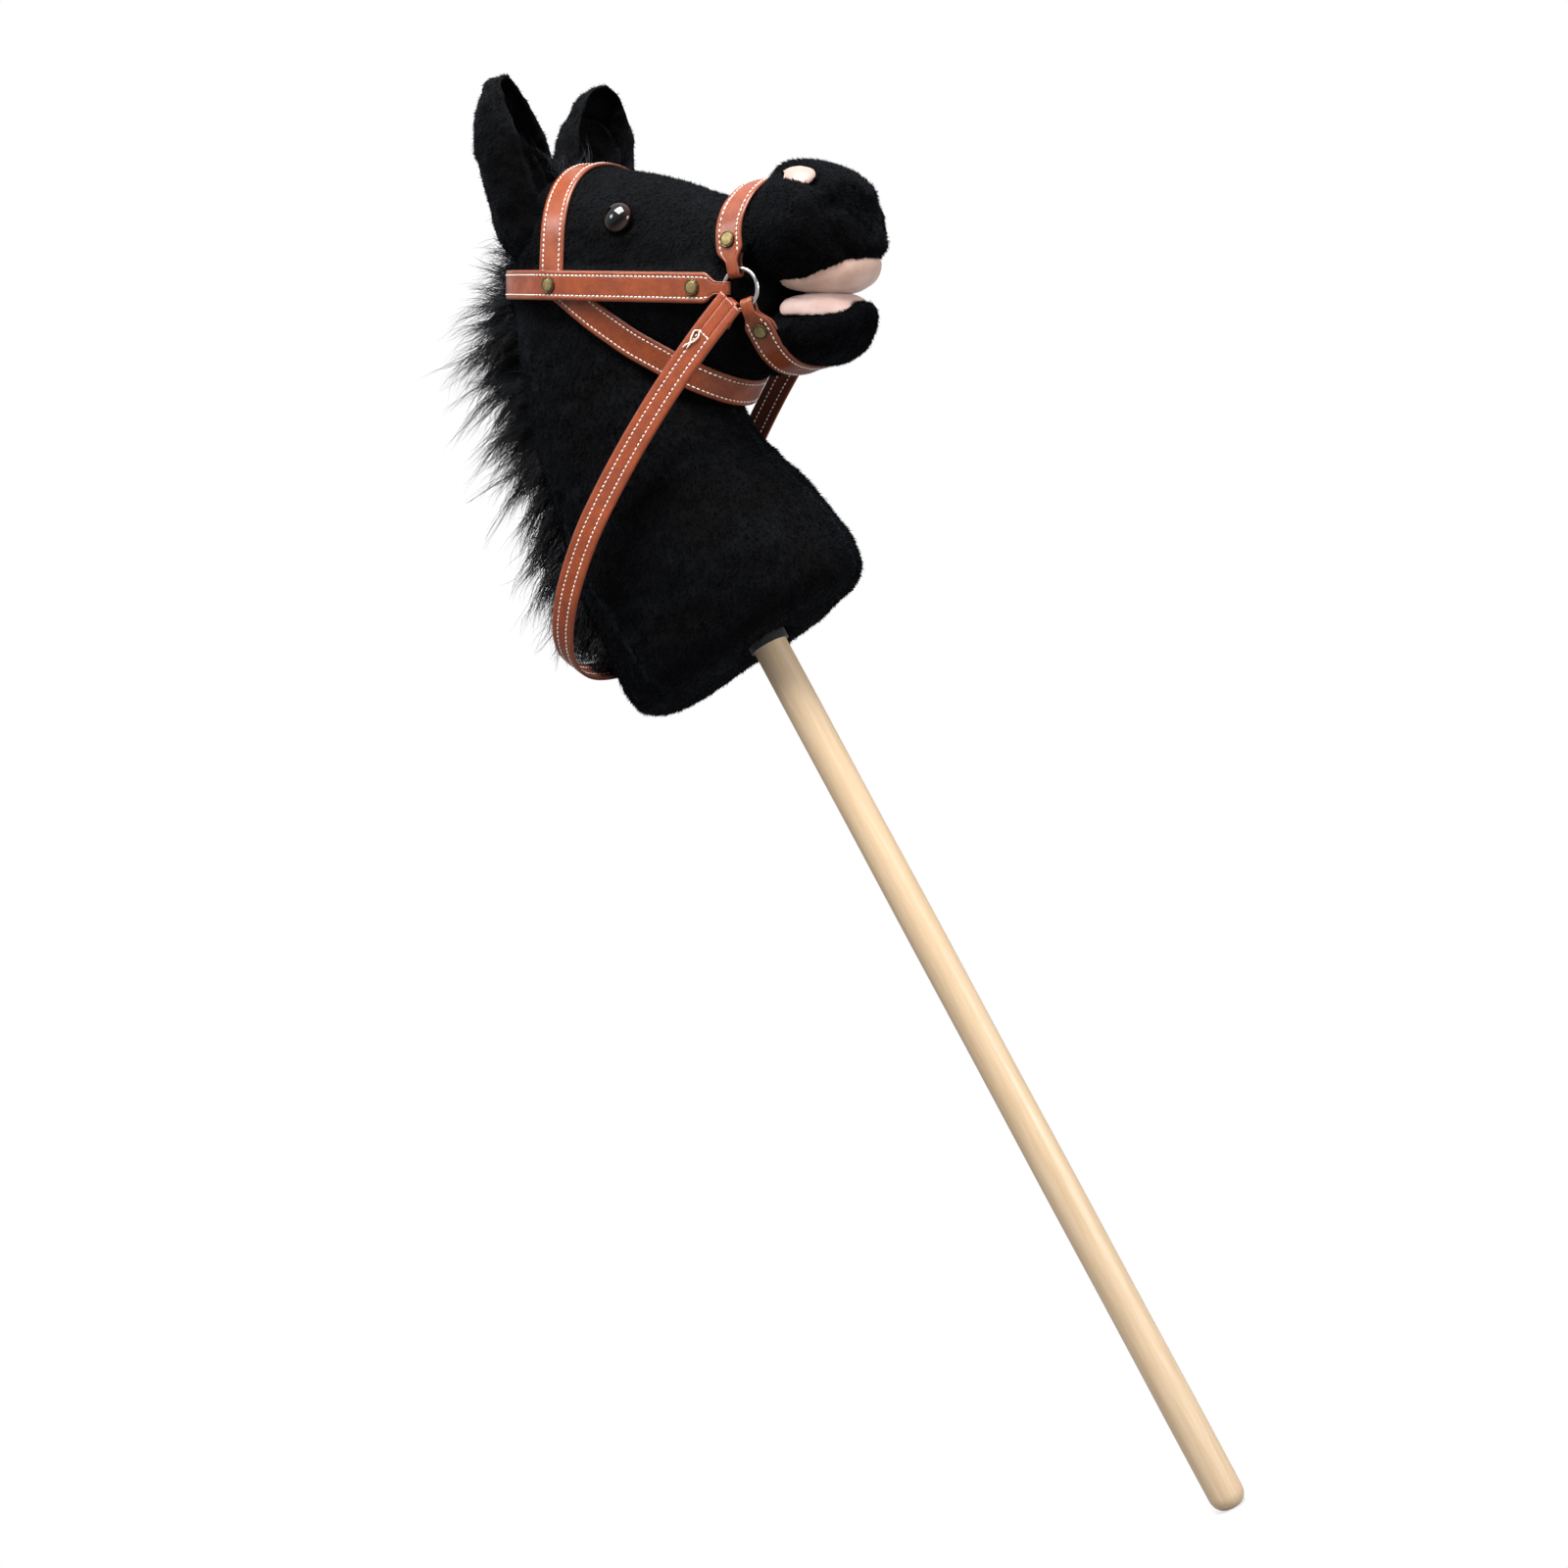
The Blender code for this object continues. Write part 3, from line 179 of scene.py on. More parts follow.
def read_table(table, share):
    """Rows of a table read at shares of its length, on a smooth curve through its rows."""
    rows = np.array(table)
    place, values = rows[:, 0], rows[:, 1:]
    share = np.clip(share, place[0], place[-1])
    k = np.clip(np.searchsorted(place, share) - 1, 0, len(place) - 2)
    slope = np.gradient(values, place, axis=0)
    wide = (place[k + 1] - place[k])[:, None]
    t = (share - place[k])[:, None] / wide
    return (
        (2 * t**3 - 3 * t**2 + 1) * values[k]
        + (t**3 - 2 * t**2 + t) * wide * slope[k]
        + (-2 * t**3 + 3 * t**2) * values[k + 1]
        + (t**3 - t**2) * wide * slope[k + 1]
    )


def build_mesh(name, points, faces, smooth=True):
    """A mesh of faces that all have the same number of corners."""
    mesh = bpy.data.meshes.new(name)
    count, sides = faces.shape
    mesh.vertices.add(len(points))
    mesh.vertices.foreach_set("co", np.asarray(points, np.float32).ravel())
    mesh.loops.add(count * sides)
    mesh.loops.foreach_set("vertex_index", faces.astype(np.int32).ravel())
    mesh.polygons.add(count)
    mesh.polygons.foreach_set("loop_start", np.arange(0, count * sides, sides, dtype=np.int32))
    mesh.update(calc_edges=True)
    mesh.validate()
    if smooth:
        mesh.shade_smooth()
    return mesh


def face_outward(mesh, merge=0.0):
    """Turn a mesh's faces outwards; points nearer to one another than `merge` become one first."""
    work = bmesh.new()
    work.from_mesh(mesh)
    if merge:
        bmesh.ops.remove_doubles(work, verts=work.verts, dist=merge)
    bmesh.ops.recalc_face_normals(work, faces=work.faces)
    work.to_mesh(mesh)
    work.free()


def put_values(mesh, name, values):
    """Store one number or one vector a point, for the materials."""
    kind = "FLOAT" if values.ndim == 1 else "FLOAT_VECTOR"
    slot = mesh.attributes.get(name) or mesh.attributes.new(name, kind, "POINT")
    key = "value" if values.ndim == 1 else "vector"
    slot.data.foreach_set(key, values.astype(np.float32).ravel())


def put_in_scene(name, data):
    """A new object that holds the data, at the origin."""
    item = bpy.data.objects.new(name, data)
    bpy.context.scene.collection.objects.link(item)
    return item


def piece(name, mesh, material, body, slot, *nodes):
    """Link a finished mesh as a piece that rides on a body and stands for CAD nodes."""
    mesh.name = name
    item = put_in_scene(name, mesh)
    mesh.materials.clear()
    mesh.materials.append(material)
    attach(item, body)
    if nodes:
        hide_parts(*nodes)
    return item


def tube_quads(count, around, closed=False):
    """Quads between `count` rings of `around` points; a closed tube also joins the last to the first."""
    i = np.arange(count if closed else count - 1)[:, None] * around
    after = (i + around) % (count * around)
    j = np.arange(around)[None]
    k = (j + 1) % around
    return np.stack([i + j, i + k, after + k, after + j], -1).reshape(-1, 4)


def sweep(name, rings, values=None):
    """Rings of points (count, round, 3) joined by quads, with a fan over each end."""
    count, around, _ = rings.shape
    quads = tube_quads(count, around)
    points = np.vstack([rings.reshape(-1, 3), rings[0].mean(0), rings[-1].mean(0)])
    first, last = count * around, count * around + 1
    base = (count - 1) * around
    steps = [(j, (j + 1) % around) for j in range(around)]
    fans = [[k, j, first] for j, k in steps] + [[base + j, base + k, last] for j, k in steps]
    mesh = bpy.data.meshes.new(name)
    mesh.from_pydata(points.tolist(), [], quads.tolist() + fans)
    mesh.shade_smooth()
    for key, array in (values or {}).items():
        ends = np.stack([array[0].mean(0), array[-1].mean(0)])
        flat = array.reshape(-1, array.shape[-1]) if array.ndim == 3 else array.reshape(-1)
        put_values(mesh, key, np.concatenate([flat, ends]))
    face_outward(mesh)
    return mesh


def read_mesh(mesh):
    """The points, corner triples and point normals of a mesh as arrays."""
    mesh.calc_loop_triangles()
    points = np.zeros(len(mesh.vertices) * 3, np.float32)
    mesh.vertices.foreach_get("co", points)
    corners = np.zeros(len(mesh.loop_triangles) * 3, np.int32)
    mesh.loop_triangles.foreach_get("vertices", corners)
    normals = np.zeros(len(mesh.vertices) * 3, np.float32)
    mesh.vertices.foreach_get("normal", normals)
    return (
        points.reshape(-1, 3).astype(float),
        corners.reshape(-1, 3),
        normals.reshape(-1, 3).astype(float),
    )


def set_points(mesh, points):
    """Give a mesh's points new places."""
    mesh.vertices.foreach_set("co", points.astype(np.float32).ravel())
    mesh.update()


# Shader helpers
def add_node(tree, kind, values=None, **settings):
    """A shader node with its settings and the plain values of its inputs."""
    item = tree.nodes.new(kind)
    for key, value in settings.items():
        setattr(item, key, value)
    for key, value in (values or {}).items():
        item.inputs[key].default_value = value
    return item


def make_group(name, inputs, outputs):
    """An empty shader node group with named sockets, its input and output nodes."""
    group = bpy.data.node_groups.new(name, "ShaderNodeTree")
    for key, kind, value in inputs:
        socket = group.interface.new_socket(name=key, in_out="INPUT", socket_type=kind)
        if value is not None:
            socket.default_value = value
    for key, kind in outputs:
        group.interface.new_socket(name=key, in_out="OUTPUT", socket_type=kind)
    return group, group.nodes.new("NodeGroupInput"), group.nodes.new("NodeGroupOutput")


FLOAT, COLOR, VECTOR = "NodeSocketFloat", "NodeSocketColor", "NodeSocketVector"


def patches_group():
    """Patches: noise of the object's own coordinates, sharpened between two levels, mixes two colours."""
    group, start, end = make_group(
        "patches",
        [
            ("Vector", VECTOR, None), ("Scale", FLOAT, 30.0), ("Low", FLOAT, 0.4), ("High", FLOAT, 0.65),
            ("Color A", COLOR, (0, 0, 0, 1)), ("Color B", COLOR, (1, 1, 1, 1)),
        ],
        [("Color", COLOR), ("Mask", FLOAT)],
    )
    noise = add_node(group, "ShaderNodeTexNoise", {"Detail": 4.0, "Roughness": 0.6})
    level = add_node(group, "ShaderNodeMapRange", interpolation_type="SMOOTHSTEP")
    mix = add_node(group, "ShaderNodeMix", data_type="RGBA")
    link = group.links.new
    link(start.outputs["Vector"], noise.inputs["Vector"])
    link(start.outputs["Scale"], noise.inputs["Scale"])
    link(noise.outputs["Fac"], level.inputs["Value"])
    link(start.outputs["Low"], level.inputs["From Min"])
    link(start.outputs["High"], level.inputs["From Max"])
    link(level.outputs["Result"], mix.inputs["Factor"])
    link(start.outputs["Color A"], mix.inputs["A"])
    link(start.outputs["Color B"], mix.inputs["B"])
    link(mix.outputs["Result"], end.inputs["Color"])
    link(level.outputs["Result"], end.inputs["Mask"])
    return group


def grain_group():
    """Grain: fine noise and small cells together push the normal in and out."""
    group, start, end = make_group(
        "grain",
        [
            ("Vector", VECTOR, None), ("Scale", FLOAT, 900.0), ("Strength", FLOAT, 0.3),
            ("Distance", FLOAT, 0.0003), ("Cells", FLOAT, 0.5),
        ],
        [("Normal", VECTOR), ("Height", FLOAT)],
    )
    noise = add_node(group, "ShaderNodeTexNoise", {"Detail": 5.0, "Roughness": 0.65})
    cells = add_node(group, "ShaderNodeTexVoronoi", feature="SMOOTH_F1")
    mix = add_node(group, "ShaderNodeMix", data_type="FLOAT")
    bump = add_node(group, "ShaderNodeBump")
    link = group.links.new
    for item in (noise, cells):
        link(start.outputs["Vector"], item.inputs["Vector"])
        link(start.outputs["Scale"], item.inputs["Scale"])
    link(start.outputs["Cells"], mix.inputs["Factor"])
    link(noise.outputs["Fac"], mix.inputs["A"])
    link(cells.outputs["Distance"], mix.inputs["B"])
    link(mix.outputs["Result"], bump.inputs["Height"])
    link(start.outputs["Strength"], bump.inputs["Strength"])
    link(start.outputs["Distance"], bump.inputs["Distance"])
    link(bump.outputs["Normal"], end.inputs["Normal"])
    link(mix.outputs["Result"], end.inputs["Height"])
    return group


PATCHES = patches_group()
GRAIN = grain_group()


class Finish:
    """A material being built, with its Principled shader and short ways to wire it."""

    def __init__(self, name, **values):
        """A new material; the values go to the shader's own sockets."""
        self.material = bpy.data.materials.new(name)
        self.material.use_nodes = True
        self.tree = self.material.node_tree
        self.shader = self.tree.nodes["Principled BSDF"]
        self.place = add_node(self.tree, "ShaderNodeTexCoord").outputs["Object"]
        self.set(**values)

    def set(self, **values):
        """Put plain values on the shader's own sockets."""
        for key, value in values.items():
            self.shader.inputs[key.replace("_", " ")].default_value = value
        return self

    def node(self, kind, values=None, **settings):
        """A node in this material."""
        return add_node(self.tree, kind, values, **settings)

    def link(self, a, b):
        """Wire one socket to another."""
        self.tree.links.new(a, b)
        return self

    def to(self, socket, name):
        """Wire a socket to a named input of the shader."""
        return self.link(socket, self.shader.inputs[name])

    def patches(self, scale, low, high, a, b, vector=None):
        """The patches group: how fine, between which two levels, and the two colours it mixes."""
        values = {"Scale": scale, "Low": low, "High": high, "Color A": (*a, 1.0), "Color B": (*b, 1.0)}
        item = self.node("ShaderNodeGroup", values, node_tree=PATCHES)
        self.link(vector or self.place, item.inputs["Vector"])
        return item

    def grain(self, scale, strength, distance, cells=0.5, vector=None):
        """The grain group, wired to the shader's normal."""
        values = {"Scale": scale, "Strength": strength, "Distance": distance, "Cells": cells}
        item = self.node("ShaderNodeGroup", values, node_tree=GRAIN)
        self.link(vector or self.place, item.inputs["Vector"])
        self.to(item.outputs["Normal"], "Normal")
        return item

    def value(self, name):
        """A number stored on the mesh's points."""
        return self.node("ShaderNodeAttribute", attribute_name=name).outputs["Fac"]

    def mix(self, factor, a, b):
        """Mix two colours; each is a socket or three numbers."""
        item = self.node("ShaderNodeMix", data_type="RGBA")
        for key, value in (("Factor", factor), ("A", a), ("B", b)):
            if isinstance(value, (tuple, float)):
                full = (*value, 1.0) if isinstance(value, tuple) else value
                item.inputs[key].default_value = full
            else:
                self.link(value, item.inputs[key])
        return item.outputs["Result"]

    def multiply(self, a, b):
        """Two colours multiplied with one another."""
        item = self.node("ShaderNodeMix", {"Factor": 1.0}, data_type="RGBA", blend_type="MULTIPLY")
        self.link(a, item.inputs["A"]).link(b, item.inputs["B"])
        return item.outputs["Result"]

    def levels(self, value, a, b, low=0.0, high=1.0):
        """A value's range from a to b spread over the range from low to high."""
        values = {"From Min": a, "From Max": b, "To Min": low, "To Max": high}
        item = self.node("ShaderNodeMapRange", values)
        self.link(value, item.inputs["Value"])
        return item.outputs["Result"]


def plush_material(name, shade, sheen):
    """Short black pile: patches lie different ways; seams and fibre ends get a cool painted sheen."""
    f = Finish(name, Roughness=0.85, Sheen_Roughness=0.42, Sheen_Tint=(0.55, 0.66, 0.86, 1.0))
    f.set(Specular_IOR_Level=0.06)
    light = (0.0038 * shade, 0.0041 * shade, 0.0052 * shade)
    # The lighter fine flecks are a cool painted sheen on fibre ends
    painted_sheen_tips = (0.0042 * shade, 0.0045 * shade, 0.0055 * shade)
    tone = f.patches(34.0, 0.42, 0.68, (0.0014 * shade,) * 3, light)
    fine = f.patches(420.0, 0.35, 0.75, (0.0010 * shade,) * 3, painted_sheen_tips)
    body = f.mix(0.45, tone.outputs["Color"], fine.outputs["Color"])
    # Along the seams the colour is lightened to a cool grey-blue: a painted sheen
    seam = f.levels(f.value("seam"), 0.2, 1.0)
    f.to(f.mix(seam, body, (0.010, 0.012, 0.016)), "Base Color")
    f.to(f.levels(tone.outputs["Mask"], 0.0, 1.0, 0.25 * sheen, 1.3 * sheen), "Sheen Weight")
    f.grain(700.0, 0.6, 0.0006, 0.3)
    return f.material


def pile_material(name, root, tip, roughness=0.62, specular=0.045, sheen=0.014):
    """Fibres: painted shade at the root, a cool painted sheen at the tip, each fibre of its own tone."""
    f = Finish(name, Roughness=roughness, Specular_IOR_Level=specular)
    f.set(Sheen_Weight=sheen, Sheen_Tint=(0.6, 0.7, 0.9, 1.0))
    # Root to tip: the dark root is painted shade deep in the pile, the cool lighter tip a painted sheen
    colour = f.mix(f.value("tip"), root, tip)
    dark = f.mix(f.value("tone"), colour, tuple(0.35 * c for c in root))
    patch = f.patches(38.0, 0.40, 0.66, (0.55, 0.55, 0.55), (1.25, 1.25, 1.35))
    f.to(f.multiply(dark, patch.outputs["Color"]), "Base Color")
    return f.material


def leather_material(name, tint=(1.0, 1.0, 1.0)):
    """Tanned strap leather: mottled red-brown, fine pores, darker burnished edges and scuffs."""
    f = Finish(name, Specular_IOR_Level=0.32, Coat_Weight=0.28, Coat_Roughness=0.17)
    r, g, b = tint
    dark, light = (0.190 * r, 0.036 * g, 0.0090 * b), (0.265 * r, 0.055 * g, 0.0150 * b)
    base = f.patches(95.0, 0.33, 0.70, dark, light)
    streak = f.patches(900.0, 0.30, 0.80, (0.80, 0.78, 0.76), (1.10, 1.10, 1.10))
    shade = f.multiply(base.outputs["Color"], streak.outputs["Color"])
    edge = f.levels(f.value("edge"), 0.86, 1.0)
    worn = f.mix(edge, shade, (0.150 * r, 0.036 * g, 0.016 * b))
    # The underside: the flesh side's own duller brown, darkened further with painted shade
    under = f.mix(f.value("under"), worn, (0.147 * r, 0.048 * g, 0.034 * b))
    f.to(under, "Base Color")
    f.to(f.levels(base.outputs["Mask"], 0.0, 1.0, 0.50, 0.36), "Roughness")
    f.grain(1500.0, 0.28, 0.00022, 0.7)
    return f.material


def metal_material(name, light, dark, roughness, rim=None):
    """Plated metal: cloudy tarnish, fine scratches, a darker rim where `rim` gives its colour."""
    f = Finish(name, Metallic=1.0)
    tone = f.patches(260.0, 0.38, 0.70, dark, light)
    colour = tone.outputs["Color"]
    if rim:
        colour = f.mix(f.value("rim"), colour, rim)
    f.to(colour, "Base Color")
    f.to(f.levels(tone.outputs["Mask"], 0.0, 1.0, roughness + 0.14, roughness), "Roughness")
    f.grain(2400.0, 0.10, 0.0001, 0.1)
    return f.material


def satin_material(name, a, b):
    """Lining satin: two close tones, a fine weave and a broad soft highlight."""
    f = Finish(name, Roughness=0.42, Specular_IOR_Level=0.45, Sheen_Weight=0.35)
    tone = f.patches(60.0, 0.30, 0.75, a, b)
    f.to(tone.outputs["Color"], "Base Color")
    weave = {"Scale": 900.0, "Distortion": 1.5, "Detail": 2.0}
    wave = f.node("ShaderNodeTexWave", weave, bands_direction="DIAGONAL")
    f.link(f.place, wave.inputs["Vector"])
    bump = f.node("ShaderNodeBump", {"Strength": 0.12, "Distance": 0.0002})
    f.link(wave.outputs["Fac"], bump.inputs["Height"]).to(bump.outputs["Normal"], "Normal")
    return f.material


def birch_material():
    """Pale turned birch: long grain along the stick, small flecks and a satin varnish."""
    f = Finish("birch", Coat_Weight=0.16, Coat_Roughness=0.28)
    stretch = f.node("ShaderNodeMapping", {"Scale": (1.0, 1.0, 0.045)})
    f.link(f.place, stretch.inputs["Vector"])
    along = stretch.outputs["Vector"]
    dark, light = (0.510, 0.365, 0.220), (0.590, 0.450, 0.305)
    long_grain = f.patches(170.0, 0.25, 0.80, dark, light, along)
    fine = f.patches(900.0, 0.30, 0.72, (0.93, 0.91, 0.88), (1.03, 1.03, 1.03), along)
    shade = f.multiply(long_grain.outputs["Color"], fine.outputs["Color"])
    fleck = f.node("ShaderNodeMapping", {"Scale": (1.0, 1.0, 0.16)})
    f.link(f.place, fleck.inputs["Vector"])
    marks = f.patches(700.0, 0.70, 0.76, (0.0, 0.0, 0.0), (1.0, 1.0, 1.0), fleck.outputs["Vector"])
    f.to(f.mix(marks.outputs["Mask"], shade, (0.430, 0.225, 0.100)), "Base Color")
    f.to(f.levels(long_grain.outputs["Mask"], 0.0, 1.0, 0.52, 0.40), "Roughness")
    f.grain(600.0, 0.10, 0.0002, 0.0, along)
    return f.material


def eye_material():
    """Dark glass: a black pupil in a very dark brown iris, warmer just inside its rim."""
    f = Finish("eye_glass", Roughness=0.03, IOR=1.5)
    iris = f.patches(900.0, 0.3, 0.7, (0.0100, 0.0036, 0.0018), (0.0320, 0.0110, 0.0050))
    ring = f.levels(f.value("rim"), 0.66, 0.90)
    colour = f.mix(ring, (0.0008, 0.0007, 0.0007), iris.outputs["Color"])
    edge = f.levels(f.value("rim"), 0.96, 1.0)
    f.to(f.mix(edge, colour, (0.0020, 0.0015, 0.0012)), "Base Color")
    return f.material


def plain_fibre(name, a, b, roughness, scale):
    """Thread, cotton and dull plastic: two close tones in patches, with a fine grain."""
    f = Finish(name, Roughness=roughness, Sheen_Weight=0.2)
    tone = f.patches(scale, 0.3, 0.7, a, b)
    f.to(tone.outputs["Color"], "Base Color")
    f.grain(1600.0, 0.3, 0.0002, 0.2)
    return f.material


PLUSH = plush_material("plush", 0.8, 0.03)
EAR_PLUSH = plush_material("ear_plush", 0.9, 0.03)
EAR_LINING = plush_material("ear_lining", 1.2, 0.04)
# Root and tip colours of pile and hair: the darker roots are painted shade, the cool lighter tips painted
# sheen
PILE = pile_material("pile", (0.0009, 0.0009, 0.0011), (0.0034, 0.0037, 0.0050))
HAIR = pile_material("mane_hair", (0.0012, 0.0012, 0.0014), (0.0036, 0.0037, 0.0046), 0.42, 0.24, 0.06)
LEATHER = leather_material("bridle_leather")
REIN_LEATHER = leather_material("rein_leather", (1.06, 0.96, 0.85))
NICKEL = metal_material("nickel", (0.78, 0.76, 0.73), (0.50, 0.48, 0.45), 0.16)
BRASS = metal_material(
    "antique_brass", (0.420, 0.330, 0.150), (0.250, 0.190, 0.085), 0.36, (0.040, 0.028, 0.014)
)
PALATE_SATIN = satin_material("palate_satin", (0.480, 0.290, 0.215), (0.620, 0.420, 0.330))
TONGUE_SATIN = satin_material("tongue_satin", (0.560, 0.370, 0.320), (0.660, 0.480, 0.425))
# The nostril satin is the lining's pale pink darkened with painted shade
SHADED_NOSTRIL_SATIN = satin_material("nostril_satin", (0.300, 0.190, 0.155), (0.380, 0.255, 0.215))
BIRCH = birch_material()
EYE_GLASS = eye_material()
THREAD = plain_fibre("thread", (0.66, 0.58, 0.46), (0.86, 0.80, 0.70), 0.7, 900.0)
COTTON = plain_fibre("black_cotton", (0.006, 0.006, 0.007), (0.012, 0.012, 0.014), 0.9, 300.0)
PLASTIC = plain_fibre("moulded_plastic", (0.72, 0.72, 0.69), (0.82, 0.82, 0.79), 0.45, 200.0)

HIDDEN_FINISHES = {
    "stick_sleeve": COTTON, "stick_cap": PLASTIC, "eye_washer_right": PLASTIC, "eye_washer_left": PLASTIC,
}
for node_name, finish in HIDDEN_FINISHES.items():
    for entry in frame["nodes"][node_name].material_slots:
        entry.material = finish


def node_arrays(names):
    """Points and triangles of CAD nodes together, in the row frame."""
    points, faces, start = [], [], 0
    for name in names:
        p, t, _ = read_mesh(frame["nodes"][name].data)
        points.append(p)
        faces.append(t + start)
        start += len(p)
    return np.vstack(points), np.vstack(faces)


def merged_copy(name, names):
    """A scratch object holding the nodes' meshes with doubled points merged."""
    points, faces = node_arrays(names)
    mesh = build_mesh(name, points, faces, smooth=False)
    face_outward(mesh, 0.00001)
    return put_in_scene(name, mesh)


def baked(item):
    """The object's mesh with its modifiers applied; the scratch object is removed."""
    graph = bpy.context.evaluated_depsgraph_get()
    graph.update()
    mesh = bpy.data.meshes.new_from_object(item.evaluated_get(graph))
    bpy.data.objects.remove(item, do_unlink=True)
    return mesh


def remeshed(name, names, voxel, smooth):
    """The nodes' meshes as one closed skin of even quads, smoothed a few times."""
    item = merged_copy(name, names)
    step = item.modifiers.new("remesh", "REMESH")
    step.mode = "VOXEL"
    step.voxel_size = voxel
    step.use_smooth_shade = True
    step = item.modifiers.new("smooth", "SMOOTH")
    step.factor = 0.5
    step.iterations = smooth
    return baked(item)


def swell(mesh, cap):
    """Stuff a closed cover: cloth with inner pressure, its movement capped."""
    rest, _, normals = read_mesh(mesh)
    set_points(mesh, rest - normals * SHRINK)
    start, _, _ = read_mesh(mesh)
    item = put_in_scene("swelling", mesh)
    cloth = item.modifiers.new("cloth", "CLOTH")
    cloth.settings.quality = 5
    cloth.settings.tension_stiffness = 12.0
    cloth.settings.compression_stiffness = 12.0
    cloth.settings.bending_stiffness = 0.4
    cloth.settings.use_pressure = True
    cloth.settings.uniform_pressure_force = 4.0
    cloth.settings.effector_weights.gravity = 0.0
    cloth.collision_settings.use_collision = False
    cloth.point_cache.frame_start = 1
    cloth.point_cache.frame_end = SWELL_FRAMES
    for frame_number in range(1, SWELL_FRAMES + 1):
        bpy.context.scene.frame_set(frame_number)
    graph = bpy.context.evaluated_depsgraph_get()
    found = item.evaluated_get(graph).to_mesh()
    points = np.zeros(len(found.vertices) * 3, np.float32)
    found.vertices.foreach_get("co", points)
    move = points.reshape(-1, 3).astype(float) - start
    item.evaluated_get(graph).to_mesh_clear()
    item.modifiers.clear()
    bpy.data.objects.remove(item, do_unlink=True)
    bpy.context.scene.frame_set(1)
    size = np.linalg.norm(move, axis=1, keepdims=True)
    move *= np.minimum(1.0, cap / np.maximum(size, 1e-9))
    set_points(mesh, start + move)


def subdivided(mesh, levels):
    """The mesh with each quad split in four, `levels` times, and smoothed."""
    item = put_in_scene("finer", mesh)
    step = item.modifiers.new("finer", "SUBSURF")
    step.levels = levels
    step.render_levels = levels
    return baked(item)


def head_tree(names, straps=()):
    """A search tree over CAD nodes and laid straps, in the head frame."""
    points, faces = node_arrays(names)
    all_points, all_faces, start = [to_head(points)], [faces], len(points)
    for strap in straps:
        p, t, _ = read_mesh(strap["mesh"])
        all_points.append(to_head(p))
        all_faces.append(t + start)
        start += len(p)
    return BVHTree.FromPolygons(np.vstack(all_points).tolist(), np.vstack(all_faces).tolist())


# Straps
WIRE_REACH = 0.5 * (RING_DIAMETER - RING_WIRE)
FOLD_RADIUS = 0.5 * RING_WIRE + GAP + 0.5 * STRAP_THICKNESS


class Route:
    """A strap's way round the head, in a plane that holds the y axis, as in the CAD source."""

    def __init__(self, origin, forward, reach, bend=((0.0, 0.0), (1.0, 0.0)), start=0.0):
        """Its start, its way forward, how far it runs before it turns over the head, and its bend."""
        self.origin = np.array(origin, float)
        self.forward = np.array(forward, float) / np.linalg.norm(forward)
        self.across = np.array((-self.forward[1], self.forward[0]))
        self.reach = reach
        self.bend = np.array(bend)
        self.start = start

    def place(self, line, across=0.0):
        """Head frame points of (p, q) pairs."""
        line = np.asarray(line, float)
        shift = np.interp(line[:, 0], self.bend[:, 0], self.bend[:, 1]) + across
        uv = self.origin + line[:, :1] * self.forward + shift[:, None] * self.across
        return np.stack([uv[:, 0], line[:, 1], uv[:, 1]], 1)

    def surface_points(self, tree, start):
        """Points of the right half outline of what lies under the strap."""
        rays = [((p, -OUTSIDE), (0.0, 1.0)) for p in np.arange(start, self.reach, RAY_STEP)]
        for k in range(RAY_TURNS + 1):
            angle = 0.5 * pi * k / RAY_TURNS
            way = (-sin(angle), cos(angle))
            rays.append(((self.reach - OUTSIDE * way[0], -OUTSIDE * way[1]), way))
        points = []
        for (p, q), (dp, dq) in rays:
            along = Vector((dp * self.forward[0], dq, dp * self.forward[1]))
            best = None
            for across in np.linspace(-0.5 * STRAP_WIDTH, 0.5 * STRAP_WIDTH, RAYS_ACROSS):
                begin = Vector(self.place([(p, q)], across)[0])
                hit = tree.ray_cast(begin, along, OUTSIDE)
                if hit[0] is not None and (best is None or hit[3] < best):
                    best = hit[3]
            if best is not None:
                lift = best - STRAP_SEAT - 0.5 * STRAP_THICKNESS
                points.append((p + lift * dp, q + lift * dq))
        return points


def end_route(angle, towards, reach, bend=((0.0, 0.0), (1.0, 0.0))):
    """A route that starts at a place on the ring's wire, given by its angle round the ring."""
    angle = radians(angle)
    return Route((WIRE_REACH * cos(angle), WIRE_REACH * sin(angle)), towards, reach, bend)


def hull_line(points):
    """The taut line over a row of points: their convex outline."""
    keep = []
    for point in [np.array(p) for p in points]:
        while len(keep) > 1:
            a, b = keep[-1] - keep[-2], point - keep[-1]
            if a[0] * b[1] - a[1] * b[0] > 0.0:
                break
            keep.pop()
        keep.append(point)
    return np.array(keep)


def even(points, step):
    """The same line with its points an even step apart."""
    run = run_along(points)
    at = np.linspace(0.0, run[-1], max(3, int(round(run[-1] / step)) + 1))
    return np.stack([np.interp(at, run, points[:, k]) for k in range(points.shape[1])], 1)


def eased(points, width):
    """A line with its corners eased over about `width` points, its ends kept."""
    reach = min(3 * width, len(points) - 1)
    weights = np.exp(-0.5 * (np.arange(-reach, reach + 1) / width) ** 2)
    weights /= weights.sum()
    before = 2.0 * points[0] - points[reach:0:-1]
    after = 2.0 * points[-1] - points[-2 : -reach - 2 : -1]
    padded = np.vstack([before, points, after])
    return np.stack([np.convolve(padded[:, k], weights, "valid") for k in range(points.shape[1])], 1)


